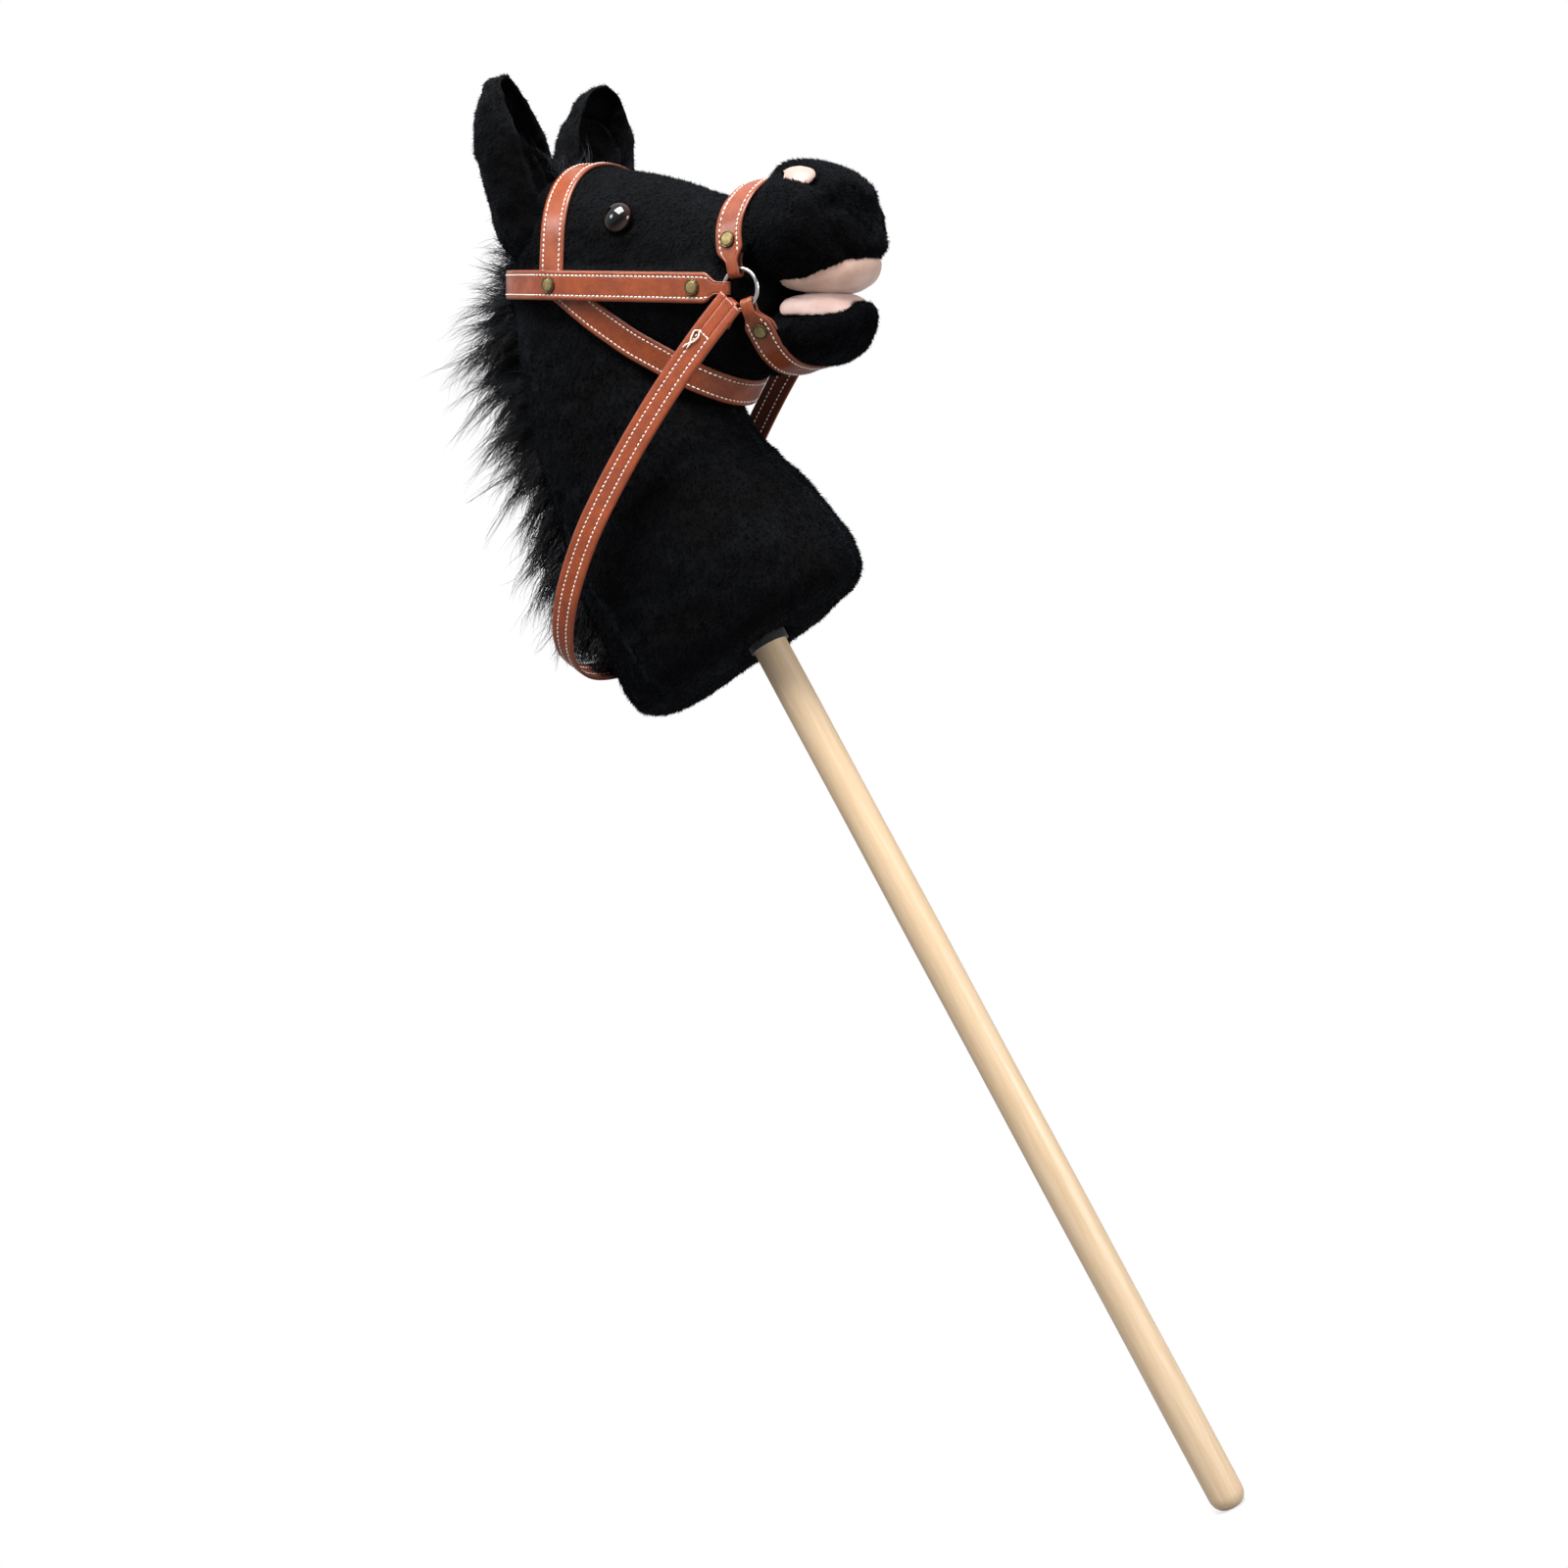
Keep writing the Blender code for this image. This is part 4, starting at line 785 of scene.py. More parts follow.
def fold_line(route):
    """Centre line round the ring's wire, from the inner layer to the outer one."""
    ring_p = -float(route.origin @ route.forward)
    ring_s = -float(route.origin @ route.across)
    edges = (-0.5 * STRAP_NECK_WIDTH, 0.5 * STRAP_NECK_WIDTH)
    centre = min(ring_p + sqrt(WIRE_REACH**2 - (edge - ring_s) ** 2) for edge in edges) - FOLD_EASE
    turns = np.radians(np.linspace(90.0, -90.0, FOLD_POINTS))
    return np.stack([centre - FOLD_RADIUS * np.cos(turns), -RING_Y + FOLD_RADIUS * np.sin(turns)], 1)


def strap_profile(rows):
    """Cross-section of a strap as shares: place across (-1 to 1), height, and how far under.

    The top is flat with a shallow dip along each stitch row and rises a little to rounded edges.
    """
    half = 0.5 * STRAP_WIDTH
    dips = [np.array(rows) / half + shift for shift in (-0.05, 0.0, 0.05)]
    top = np.unique(np.concatenate([np.linspace(-0.965, 0.965, 15)] + dips))
    height = 0.5 + 0.10 * np.abs(top) ** 6
    for row in rows:
        height = height - 0.17 * bell(top - row / half, 0.035)
    height = height - 0.16 * ramp(np.abs(top), 0.90, 0.065) ** 2
    edge = np.array([(1.0, 0.20), (1.0, -0.20), (0.975, -0.42)])
    low = np.linspace(0.92, -0.92, 7)
    across = np.concatenate([top, edge[:, 0], low, -edge[::-1, 0]])
    tall = np.concatenate([height, edge[:, 1], np.full(7, -0.5), edge[::-1, 1]])
    under = np.concatenate([np.zeros(len(top)), np.zeros(3), np.ones(7), np.zeros(3)])
    return across, tall, under


def lay_strap(name, centres, widths, outs, rows):
    """Carry the strap's cross-section along its centre line and keep its frames for the stitching."""
    along = unit(np.gradient(centres, axis=0))
    out = unit(outs - along * np.sum(outs * along, 1, keepdims=True))
    across = np.cross(along, out)
    share, tall, under = strap_profile(rows)
    half = 0.5 * widths
    rings = (
        centres[:, None]
        + across[:, None] * (half[:, None] * share[None])[..., None]
        + out[:, None] * (STRAP_THICKNESS * tall[None])[..., None]
    )
    count = len(centres)
    edge = np.repeat(np.abs(share)[None], count, 0)
    below = np.repeat(under[None], count, 0)
    mesh = sweep(name, rings, {"edge": edge, "under": below})
    return {
        "name": name, "mesh": mesh, "centre": centres, "out": out, "across": across, "along": along,
        "run": run_along(centres), "half": half, "rows": rows,
    }


def route_outs(route, line):
    """Outward directions of a line of (p, q) points, square to it in the route's plane."""
    run = np.gradient(line, axis=0)
    return world_way(np.stack([run[:, 1] * route.forward[0], -run[:, 0], run[:, 1] * route.forward[1]], 1))


def mirror_line(line):
    """A right half line of (p, q) points followed by its mirror on the left."""
    back = line[-2::-1] * np.array((1.0, -1.0))
    return np.vstack([line, back])


def open_strap(name, route, tree):
    """A strap drawn taut over what lies under it, without folded ends."""
    half = hull_line(route.surface_points(tree, route.start))
    half[-1, 1] = 0.0
    line = eased(mirror_line(even(half, LINE_STEP)), 2)
    centres = eased(world(route.place(line)), 3)
    widths = np.full(len(line), STRAP_WIDTH)
    return lay_strap(name, centres, widths, route_outs(route, line), BRIDLE_ROWS)


def ringed_strap(name, route, tree, tail):
    """A strap from ring to ring, each end folded round the wire and laid back under itself."""
    shift = np.array((0.0, FOLD_RADIUS))
    wire = np.array((FOLD_REACH, -RING_Y))
    found = [p for p in route.surface_points(tree, FOLD_REACH) if p[0] > FOLD_REACH]
    inner = even(hull_line([wire + shift] + found), LINE_STEP)
    inner = inner[(inner[:, 0] < tail) & (np.cumsum(inner[:, 0] >= tail) == 0)]
    way = unit(np.gradient(inner, axis=0))
    raised = inner + (STRAP_THICKNESS + LAYER_GAP) * np.stack([way[:, 1], -way[:, 0]], 1)
    far = [p for p in found if p[0] > inner[-1, 0] + 0.004 or p[1] > 0.5 * raised[-1, 1]]
    outer = hull_line([wire - shift] + list(raised[1:]) + far)
    outer[-1, 1] = 0.0
    outer = even(outer, LINE_STEP)
    outer[4:] = eased(outer, 2)[4:]
    line = mirror_line(np.vstack([inner[::-1], fold_line(route), outer]))
    centres = world(route.place(line))
    first = len(inner) + FOLD_POINTS
    middle = slice(first + 3, len(centres) - first - 3)
    centres[middle] = eased(centres[middle], 3)
    t = ramp(np.abs(line[:, 0]), FOLD_REACH, 0.009)
    narrow = STRAP_NECK_WIDTH + (STRAP_WIDTH - STRAP_NECK_WIDTH) * t * t * (3.0 - 2.0 * t)
    near_ring = np.abs(line[:, 1]) > 0.5 * RING_Y
    widths = np.where(near_ring, narrow, STRAP_WIDTH)
    strap = lay_strap(name, centres, widths, route_outs(route, line), BRIDLE_ROWS)
    strap["shown"] = (first + 4, len(centres) - first - 4)
    return strap


BRIDLE_ROWS = (-0.0060, 0.0060)
REIN_ROWS = (-0.0037, 0.0037)
SOFT_NODES = ["neck", "head", "upper_muzzle", "lower_jaw", "palate_lining", "tongue_lining"]

throat_start = CROSSING + np.array((0.004, -0.001))
throat_run = THROAT_TURN - throat_start
throat_route = Route(throat_start, throat_run, float(np.linalg.norm(throat_run)), THROAT_BEND, -0.004)
brow_route = Route(CROSSING + np.array((0.0, -0.006)), (-0.012, 1.0), 0.036)
cheek_route = end_route(177.0, (-1.0, 0.028), 0.122)
nose_route = end_route(107.0, (-0.12, 0.99), 0.020, NOSE_BEND)
chin_route = end_route(300.0, (0.28, -0.96), 0.010, CHIN_BEND)

soft_tree = head_tree(SOFT_NODES)
throat_strap = open_strap("throat_strap_leather", throat_route, soft_tree)
brow_strap = open_strap("brow_strap_leather", brow_route, head_tree(SOFT_NODES, [throat_strap]))
crown_bed = head_tree(SOFT_NODES, [throat_strap, brow_strap])
crown_strap = ringed_strap("crown_strap_leather", cheek_route, crown_bed, CHEEK_RIVET + 0.008)
nose_strap = ringed_strap("nose_strap_leather", nose_route, soft_tree, NOSE_RIVET + 0.008)
chin_strap = ringed_strap("chin_strap_leather", chin_route, soft_tree, CHIN_RIVET + 0.008)


def rein_half(pivot):
    """The right half of the rein's middle line, from the ring's wire to behind the neck.

    Its height is an arc over the chord L from the wires to the neck, raised 4 s (a/L)(1 - a/L) at
    distance a. Its half width w spreads to the widest at L - c and then closes as a superellipse,
    w (1 - ((a - L + c) / c)^n)^(1/n).
    """
    chord = REIN_REST - pivot[[0, 2]]
    length = float(np.linalg.norm(chord))
    along = chord / length
    upward = np.array((along[1], -along[0]))
    opening = length - REIN_CLOSING
    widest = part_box("rein")[1].y - 0.5 * STRAP_THICKNESS
    turns = np.linspace(0.0, 0.5 * pi, 60)[1:]
    closing = opening + REIN_CLOSING * np.sin(turns) ** (2.0 / REIN_POWER)
    a = np.concatenate([np.linspace(-REIN_LEAD, opening, 60), closing])
    stations = np.array(REIN_SPREAD + ((opening, widest),))
    spread = np.interp(a, stations[:, 0], stations[:, 1])
    closed = ramp(a, opening, REIN_CLOSING)
    spread *= (1.0 - closed**REIN_POWER) ** (1.0 / REIN_POWER)
    share = (a / length)[:, None]
    middle = pivot[[0, 2]] + a[:, None] * along + 4.0 * REIN_SAG * share * (1.0 - share) * upward
    return np.stack([middle[:, 0], -spread, middle[:, 1]], 1)


def build_rein():
    """The rein along its middle line, one side and its mirror."""
    pivot = world(np.array((WIRE_REACH * cos(REIN_ANGLE), 0.0, WIRE_REACH * sin(REIN_ANGLE))))
    side = rein_half(pivot)
    whole = np.vstack([side, side[-2::-1] * np.array((1.0, -1.0, 1.0))])
    line = eased(even(whole, LINE_STEP), 5)
    flat = line - pivot
    flat[:, 1] = 0.0
    across = unit(np.cross(flat, np.array((0.0, 1.0, 0.0))))
    outs = np.cross(np.gradient(line, axis=0), across)
    turn = np.sign(np.sum(outs * (line - REIN_MIDDLE), 1, keepdims=True))
    return lay_strap("rein_leather", line, np.full(len(line), STRAP_WIDTH), outs * turn, REIN_ROWS)


rein_strap = build_rein()
straps = [throat_strap, brow_strap, crown_strap, nose_strap, chin_strap]


def capsules(name, middles, ways, outs):
    """Stitches: short six-sided threads along `ways`, arched out of the leather by 1 - t^2."""
    t = np.linspace(-1.0, 1.0, 6)
    thick = THREAD_RADIUS * np.sqrt(np.clip(1.0 - np.abs(t) ** 3.0, 0.06, 1.0))
    arch = 0.00026 * (1.0 - t**2) - 0.00010
    angle = np.linspace(0.0, 2.0 * pi, 6, endpoint=False)
    side = np.cross(ways, outs)
    path = middles[:, None] + ways[:, None] * (0.5 * STITCH_LENGTH * t)[None, :, None]
    path = path + outs[:, None] * arch[None, :, None]
    ring = (
        path[:, :, None]
        + side[:, None, None] * (thick[:, None] * np.cos(angle)[None])[None, ..., None]
        + outs[:, None, None] * (thick[:, None] * np.sin(angle)[None])[None, ..., None]
    )
    quads = tube_quads(6, 6)
    ends = np.array([(0, 2, 1), (0, 3, 2), (0, 4, 3), (0, 5, 4)])
    tris = np.concatenate([quads[:, [0, 1, 2]], quads[:, [0, 2, 3]], ends, 30 + ends[:, ::-1]])
    faces = (tris[None] + (np.arange(len(middles)) * 36)[:, None, None]).reshape(-1, 3)
    mesh = build_mesh(name, ring.reshape(-1, 3), faces)
    face_outward(mesh)
    return mesh


def strap_frames(strap, at):
    """Places, ways along, outs and half widths of a strap at given distances along it."""
    run = strap["run"]
    found = []
    for key in ("centre", "along", "out", "across"):
        found.append(np.stack([np.interp(at, run, strap[key][:, k]) for k in range(3)], 1))
    return (*found, np.interp(at, run, strap["half"]))


def stitch(strap, body, start, end, word="stitches", face=1.0):
    """Two stitch rows along a strap between two distances, following its edges where it narrows.

    A face of 1 lays them on the outer side, a face of -1 on the inner one.
    """
    at = np.arange(start, end, STITCH_PITCH)
    rng = np.random.default_rng(len(at))
    middles, ways, outs = [], [], []
    for row in strap["rows"]:
        centre, along, out, across, half = strap_frames(strap, at + rng.normal(0.0, 0.00008, len(at)))
        out = face * out
        offset = row * ramp(half, 0.0, 0.5 * STRAP_WIDTH)
        lean = rng.normal(0.10, 0.05, len(at))[:, None] * np.sign(row)
        middles.append(centre + across * offset[:, None] + out * (0.5 * STRAP_THICKNESS - STITCH_SUNK))
        ways.append(unit(along + across * lean))
        outs.append(out)
    name = strap["name"].replace("leather", word)
    mesh = capsules(name, np.vstack(middles), np.vstack(ways), np.vstack(outs))
    return piece(mesh.name, mesh, THREAD, body, "cotton")


for strap in straps:
    node = strap["name"].removesuffix("_leather")
    piece(strap["name"], strap["mesh"], LEATHER, "horse", "leather", node)
    first, last = strap.get("shown", (1, len(strap["run"]) - 2))
    stitch(strap, "horse", strap["run"][first] + 0.001, strap["run"][last] - 0.001)
piece("rein_leather", rein_strap["mesh"], REIN_LEATHER, "rein", "leather", "rein")
rein_length = rein_strap["run"][-1]
stitch(rein_strap, "rein", REIN_ROW_START, rein_length - REIN_ROW_START)
stitch(rein_strap, "rein", REIN_ROW_START, rein_length - REIN_ROW_START, "back_stitches", -1.0)

# Loose thread ends: distance along the rein, distance across it, and how high they lie over it
THREAD_ENDS = (
    (
        (0.0, 0.0037, 0.4), (0.003, 0.0012, 1.5), (0.007, 0.0020, 1.9), (0.012, 0.0052, 1.3),
        (0.0145, 0.0058, 0.9),
    ),
    (
        (0.0, 0.0037, 0.4), (0.002, 0.0062, 1.4), (0.006, 0.0050, 1.8), (0.010, 0.0030, 1.4),
        (0.013, 0.0036, 0.9),
    ),
)
# The way in which both loose ends bend aside
THREAD_END_SIDE = np.array((0.708, 0.530, -0.467))


def build_thread_ends():
    """Where the rein's two rows begin: three stitches across, and two loose ends of the thread."""
    middles, ways, outs, tubes = [], [], [], []
    first = REIN_ROW_START - 0.0005
    for start, forward in ((first, 1.0), (rein_length - first, -1.0)):
        centre, along, out, across, _ = (part[0] for part in strap_frames(rein_strap, np.array([start])))
        mirrored = np.array((1.0, forward, 1.0))
        left = -np.sign(across @ (THREAD_END_SIDE * mirrored))
        for offset in (-0.0025, 0.0, 0.0025):
            middles.append(centre + across * offset + out * (0.5 * STRAP_THICKNESS - STITCH_SUNK))
            ways.append(across)
            outs.append(out)
        for bends in map(np.array, THREAD_ENDS):
            path = (
                centre + along * (forward * bends[:, :1]) + across * (left * bends[:, 1:2])
                + out * (0.5 * STRAP_THICKNESS + 0.0006 * bends[:, 2:])
            )
            tubes.append(eased(even(path, 0.0004), 2))
    mesh = capsules("rein_box_stitches", np.array(middles), np.array(ways), np.array(outs))
    piece(mesh.name, mesh, THREAD, "rein", "cotton")
    turn = np.linspace(0.0, 2.0 * pi, 8, endpoint=False)
    for number, path in enumerate(tubes):
        way = unit(np.gradient(path, axis=0))
        side = unit(np.cross(way, (0.3, 0.9, 0.2)))
        other = np.cross(way, side)
        share = np.linspace(0.0, 1.0, len(path))
        thick = 0.00048 * np.interp(share, (0.0, 0.1, 0.85, 1.0), (0.6, 1.0, 1.0, 0.5))
        ring = side[:, None] * np.cos(turn)[None, :, None] + other[:, None] * np.sin(turn)[None, :, None]
        mesh = sweep("thread_end", path[:, None] + ring * thick[:, None, None])
        piece(f"thread_end_{number + 1}", mesh, THREAD, "rein", "cotton")


build_thread_ends()


def build_loops():
    """The rein's folded ends round the ring wires, as short narrow straps."""
    towards = np.array((cos(REIN_ANGLE), sin(REIN_ANGLE)))
    route = Route(WIRE_REACH * towards, towards, 1.0)
    for side, word in ((1.0, "right"), (-1.0, "left")):
        fold = fold_line(route)
        tail = np.linspace(0.013, FOLD_REACH, 8)
        inner = np.stack([tail, np.full(8, fold[0, 1])], 1)
        outer = np.stack([tail[::-1], np.full(8, fold[-1, 1])], 1)
        line = np.vstack([inner, fold, outer])
        outs = route_outs(route, line)
        line[:, 1] *= side
        outs[:, 1] *= side
        centres = world(route.place(line))
        widths = np.full(len(line), STRAP_NECK_WIDTH)
        strap = lay_strap("rein_loop_leather_" + word, centres, widths, outs, ())
        piece(strap["name"], strap["mesh"], REIN_LEATHER, "horse", "leather", "rein_loop_" + word)


build_loops()


# Metal and eyes
def turned(name, profile, centre, normal, sides=64, values=None):
    """Carry a profile of (radius, height) pairs round an axis through `centre` along `normal`."""
    profile = np.array(profile, float)
    angle = np.linspace(0.0, 2.0 * pi, sides, endpoint=False)
    normal = np.asarray(normal, float) / np.linalg.norm(normal)
    side = np.cross(normal, (0.3, 0.1, 0.9))
    side /= np.linalg.norm(side)
    other = np.cross(normal, side)
    around = np.cos(angle)[:, None] * side + np.sin(angle)[:, None] * other
    rings = centre + profile[:, :1, None] * around[None] + (profile[:, 1:, None] * normal)
    if values is None:
        return sweep(name, rings)
    return sweep(name, rings, {"rim": np.repeat(np.asarray(values, float)[:, None], sides, 1)})


def surface_point(tree, place, across):
    """Where a line from one side meets the model, and the outward normal there, in the row frame."""
    begin, way = Vector(place), Vector((0.0, across, 0.0))
    point, normal, _, _ = tree.ray_cast(begin, way)
    if normal.dot(way) > 0.0:
        normal = -normal
    return world(np.array(point)), world_way(np.array(normal))


def build_rivets():
    """Antique caps: a thick rim, a groove inside it and a low dome with small dents."""
    cap = 0.5 * RIVET_DIAMETER
    profile = [(0.0, 1.00), (0.30, 1.00), (0.60, 0.97), (0.74, 0.90), (0.79, 0.80), (0.83, 0.76)]
    profile += [(0.87, 0.84), (0.92, 0.84), (0.965, 0.70), (0.99, 0.45), (1.0, 0.20), (1.0, 0.0)]
    profile += [(0.93, -0.10), (0.0, -0.10)]
    shape = np.array([(max(r, 0.002) * cap, h * RIVET_RISE) for r, h in profile])
    steps = ((0.0, 0.0), (0.70, 0.05), (0.79, 1.0), (0.85, 0.80), (0.92, 0.70), (1.0, 1.0))
    rim = np.interp([r for r, _ in profile], [r for r, _ in steps], [dark for _, dark in steps])
    crossing_p = float((CROSSING - cheek_route.origin) @ cheek_route.forward)
    places = (
        ("cheek_rivet_", cheek_route, CHEEK_RIVET, crown_strap),
        ("nose_rivet_", nose_route, NOSE_RIVET, nose_strap),
        ("chin_rivet_", chin_route, CHIN_RIVET, chin_strap),
        ("brow_rivet_", cheek_route, crossing_p, crown_strap),
    )
    for base, route, p, strap in places:
        points, triangles, _ = read_mesh(strap["mesh"])
        tree = BVHTree.FromPolygons(to_head(points).tolist(), triangles.tolist())
        for side, word in ((-1.0, "right"), (1.0, "left")):
            place = route.place([(p, side * OUTSIDE)])[0]
            point, _ = surface_point(tree, place, -side)
            near = strap["out"][np.argmin(np.linalg.norm(strap["centre"] - point, axis=1))]
            mesh = turned(base + word, shape, point + near * 0.00015, near, 10, rim)
            mesh.shade_flat()
            piece(base + "cap_" + word, mesh, BRASS, "horse", "brass", base + word)


def build_rings():
    """Wire rings: a round circle of wire, a little thicker at its soldered butt."""
    around = np.linspace(0.0, 2.0 * pi, 96, endpoint=False)
    round_wire = np.linspace(0.0, 2.0 * pi, 18, endpoint=False)
    thick = 0.5 * RING_WIRE * (0.93 + 0.06 * bell(around - 2.2, 0.06))
    for side, word in ((-1.0, "right"), (1.0, "left")):
        reach = WIRE_REACH + thick[:, None] * np.cos(round_wire)[None]
        y = side * RING_Y + thick[:, None] * np.sin(round_wire)[None]
        rings = world(np.stack([reach * np.cos(around)[:, None], y, reach * np.sin(around)[:, None]], -1))
        quads = tube_quads(len(around), len(round_wire), closed=True)
        mesh = build_mesh("ring_wire_" + word, rings.reshape(-1, 3), quads)
        face_outward(mesh)
        piece("ring_wire_" + word, mesh, NICKEL, "ring_" + word, "nickel", "ring_" + word)


def build_eyes():
    """Glass domes with a rounded edge, where the CAD has them."""
    found = []
    turns = np.linspace(0.02, 0.5 * pi, 14)
    radius, rise, flange = 0.0094, 0.0064, 0.0008
    profile = [(radius * sin(a), flange + rise * cos(a)) for a in turns]
    profile += [(radius * 1.01, 0.5 * flange), (radius * 0.97, 0.0), (0.00001, -0.0005)]
    rim = [r / radius for r, _ in profile[:-3]] + [1.0, 1.0, 1.0]
    for side, word in ((-1.0, "right"), (1.0, "left")):
        bed = []
        for turn in np.linspace(0.0, 2.0 * pi, 8, endpoint=False):
            place = (EYE_PLACE[0] + 0.005 * cos(turn), side * OUTSIDE, EYE_PLACE[1] + 0.005 * sin(turn))
            bed.append(surface_point(soft_tree, place, -side))
        point = np.mean([place for place, _ in bed], 0)
        normal = unit(np.mean([way for _, way in bed], 0))
        mesh = turned("eye_" + word, profile, point + normal * GAP, normal, 64, rim)
        piece("eye_glass_" + word, mesh, EYE_GLASS, "horse", "eye", "eye_" + word)
        found.append(point)
    return found


build_rivets()
build_rings()
eye_places = build_eyes()


def build_stick():
    """A dowel carried round Z: its radius wanders a tenth of a millimetre along its length."""
    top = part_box("stick")[1].z
    radius, flat, dome = 0.011, 0.004, 0.009
    turns = np.linspace(0.5 * pi, 0.0, 12)
    profile = [(0.0002, 0.0)] + [(flat + (radius - flat) * cos(a), dome * (1.0 - sin(a))) for a in turns]
    profile += [(radius + 0.00008 * sin(37.0 * z), z) for z in np.linspace(0.02, top - 0.004, 90)]
    profile += [(radius - 0.0004, top - 0.0012), (radius - 0.0018, top), (0.0002, top)]
    mesh = turned("birch_stick", profile, np.zeros(3), (0.0, 0.0, 1.0), 72)
    piece("birch_stick", mesh, BIRCH, "horse", "birch", "stick")


build_stick()

# Plush forms
NECK_BASE = 0.585
NECK_HEIGHT = 0.292
NECK_DEPTH = 0.194
NECK_HALF_WIDTH = 0.052
NECK_SET_BACK = 0.0145
# Share of the height, back and front edge as shares of the depth, and share of the half width
NECK_TABLE = (
    (0.000, -0.460, 0.460, 0.80), (0.048, -0.500, 0.500, 0.98), (0.199, -0.480, 0.480, 1.00),
    (0.353, -0.452, 0.414, 0.97), (0.520, -0.390, 0.388, 0.93), (0.719, -0.294, 0.356, 0.88),
    (0.897, -0.170, 0.253, 0.78), (1.000, -0.100, 0.150, 0.70),
)


def seam_distance(points):
    """Distance from the neck's seams: one each side near the back, one down the middle in front."""
    share = (points[:, 2] - NECK_BASE) / NECK_HEIGHT
    rows = read_table(NECK_TABLE, share)
    middle = 0.5 * (rows[:, 0] + rows[:, 1]) * NECK_DEPTH - NECK_SET_BACK
    half = 0.5 * (rows[:, 1] - rows[:, 0]) * NECK_DEPTH
    wide = NECK_HALF_WIDTH * rows[:, 2]
    turn = np.arctan2(np.abs(points[:, 1]) / wide, -(points[:, 0] - middle) / half)
    back_turn = np.radians(np.interp(share, [0.0, 0.3, 0.7, 1.0], [62.0, 55.0, 46.0, 40.0]))
    back = np.abs(turn - back_turn) * 0.5 * (half + wide)
    front = np.where(points[:, 0] > middle, np.abs(points[:, 1]), 1.0)
    on_neck = (share > 0.02) & (share < 0.93) & (to_head(points)[:, 2] < -0.03)
    return np.where(on_neck, np.minimum(back, front), 1.0)


def strap_row(laid):
    """Every second frame of the laid straps, in one set of arrays."""
    row = {key: np.vstack([s[key][::2] for s in laid]) for key in ("centre", "out", "across", "along")}
    row["half"] = np.concatenate([s["half"][::2] for s in laid])
    return row


BRIDLE_FRAMES = strap_row(straps)
REIN_FRAMES = strap_row([rein_strap])


def strap_places(points, row, chunk=4000):
    """Each point's height over the nearest strap, its distance across it, and the way out there."""
    height, across, out = np.empty(len(points)), np.empty(len(points)), np.empty((len(points), 3))
    for start in range(0, len(points), chunk):
        part = slice(start, start + chunk)
        gap = points[part][:, None] - row["centre"][None]
        near = np.argmin(np.einsum("ijk,ijk->ij", gap, gap), 1)
        away = points[part] - row["centre"][near]
        out[part] = row["out"][near]
        height[part] = np.sum(away * out[part], 1)
        side = np.abs(np.sum(away * row["across"][near], 1)) / row["half"][near] * 0.5 * STRAP_WIDTH
        across[part] = side + np.maximum(np.abs(np.sum(away * row["along"][near], 1)) - 0.004, 0.0)
    return height, across, out


def press_under_straps(points):
    """Push plush down below the straps' undersides, easing out over a few millimetres beside them."""
    height, across, out = strap_places(points, BRIDLE_FRAMES)
    allowed = -STRAP_PRESS + np.clip(across - 0.0092, 0.0, 1.0) * 0.9
    over = np.clip(height - allowed, 0.0, 0.006) * (height > -0.008) * (height < 0.010) * (across < 0.016)
    return points - out * over[:, None]


def taut_part(strap):
    """The outer layer of a strap, without its folded ends, as frames."""
    first, last = strap.get("shown", (0, len(strap["run"])))
    return {key: strap[key][first:last] for key in ("centre", "out", "across", "along", "half")}


TAUT_FRAMES = strap_row([taut_part(strap) for strap in straps])


def fill_under_straps(points):
    """Let the stuffing press up against the taut straps where a shallow hollow is left below them."""
    height, across, out = strap_places(points, TAUT_FRAMES)
    deep = np.clip(-STRAP_PRESS - height, 0.0, 1.0)
    raised = deep * ramp(-deep, -0.0065, 0.0035) * ramp(-across, -0.0125, 0.0035)
    return points + out * raised[:, None]


def tuck_under_rein(paths):
    """Lay hair under the rein where the two cross; beside the rein it rises out again."""
    points = paths.reshape(-1, 3)
    height, across, out = strap_places(points, REIN_FRAMES)
    allowed = -0.5 * STRAP_THICKNESS - 0.0010 + np.clip(across - 0.0105, 0.0, 1.0) * 1.3
    over = np.clip(height - allowed, 0.0, 0.040) * (height > -0.010)
    return (points - out * over[:, None]).reshape(paths.shape)


def finish_plush(mesh, sculpt, seed):
    """Sculpt a stuffed form: own shaping, soft lumps, seams drawn in, straps pressing in."""
    points, _, normals = read_mesh(mesh)
    uneven = 0.0007 * lumps(points, 0.045, seed) + 0.0003 * lumps(points, 0.014, seed + 1)
    points = sculpt(points + normals * uneven[:, None], normals)
    seam = seam_distance(points)
    groove = -0.0011 * bell(seam, 0.0013) + 0.0007 * bell(seam - 0.0036, 0.0017)
    points = points + normals * groove[:, None]
    points = fill_under_straps(press_under_straps(points))
    set_points(mesh, points)
    # The seam mask, which the plush material turns into a painted sheen along the seams
    put_values(mesh, "seam", bell(seam, 0.0022))
    mesh.shade_smooth()
    return mesh


def shape_body(points, normals):
    """Sockets round the eyes."""
    for place in eye_places:
        away = np.linalg.norm(points - place, axis=1)
        dent = -0.0016 * bell(away, 0.0085) + 0.0012 * bell(away - 0.0135, 0.0035)
        points = points + normals * dent[:, None]
    return points


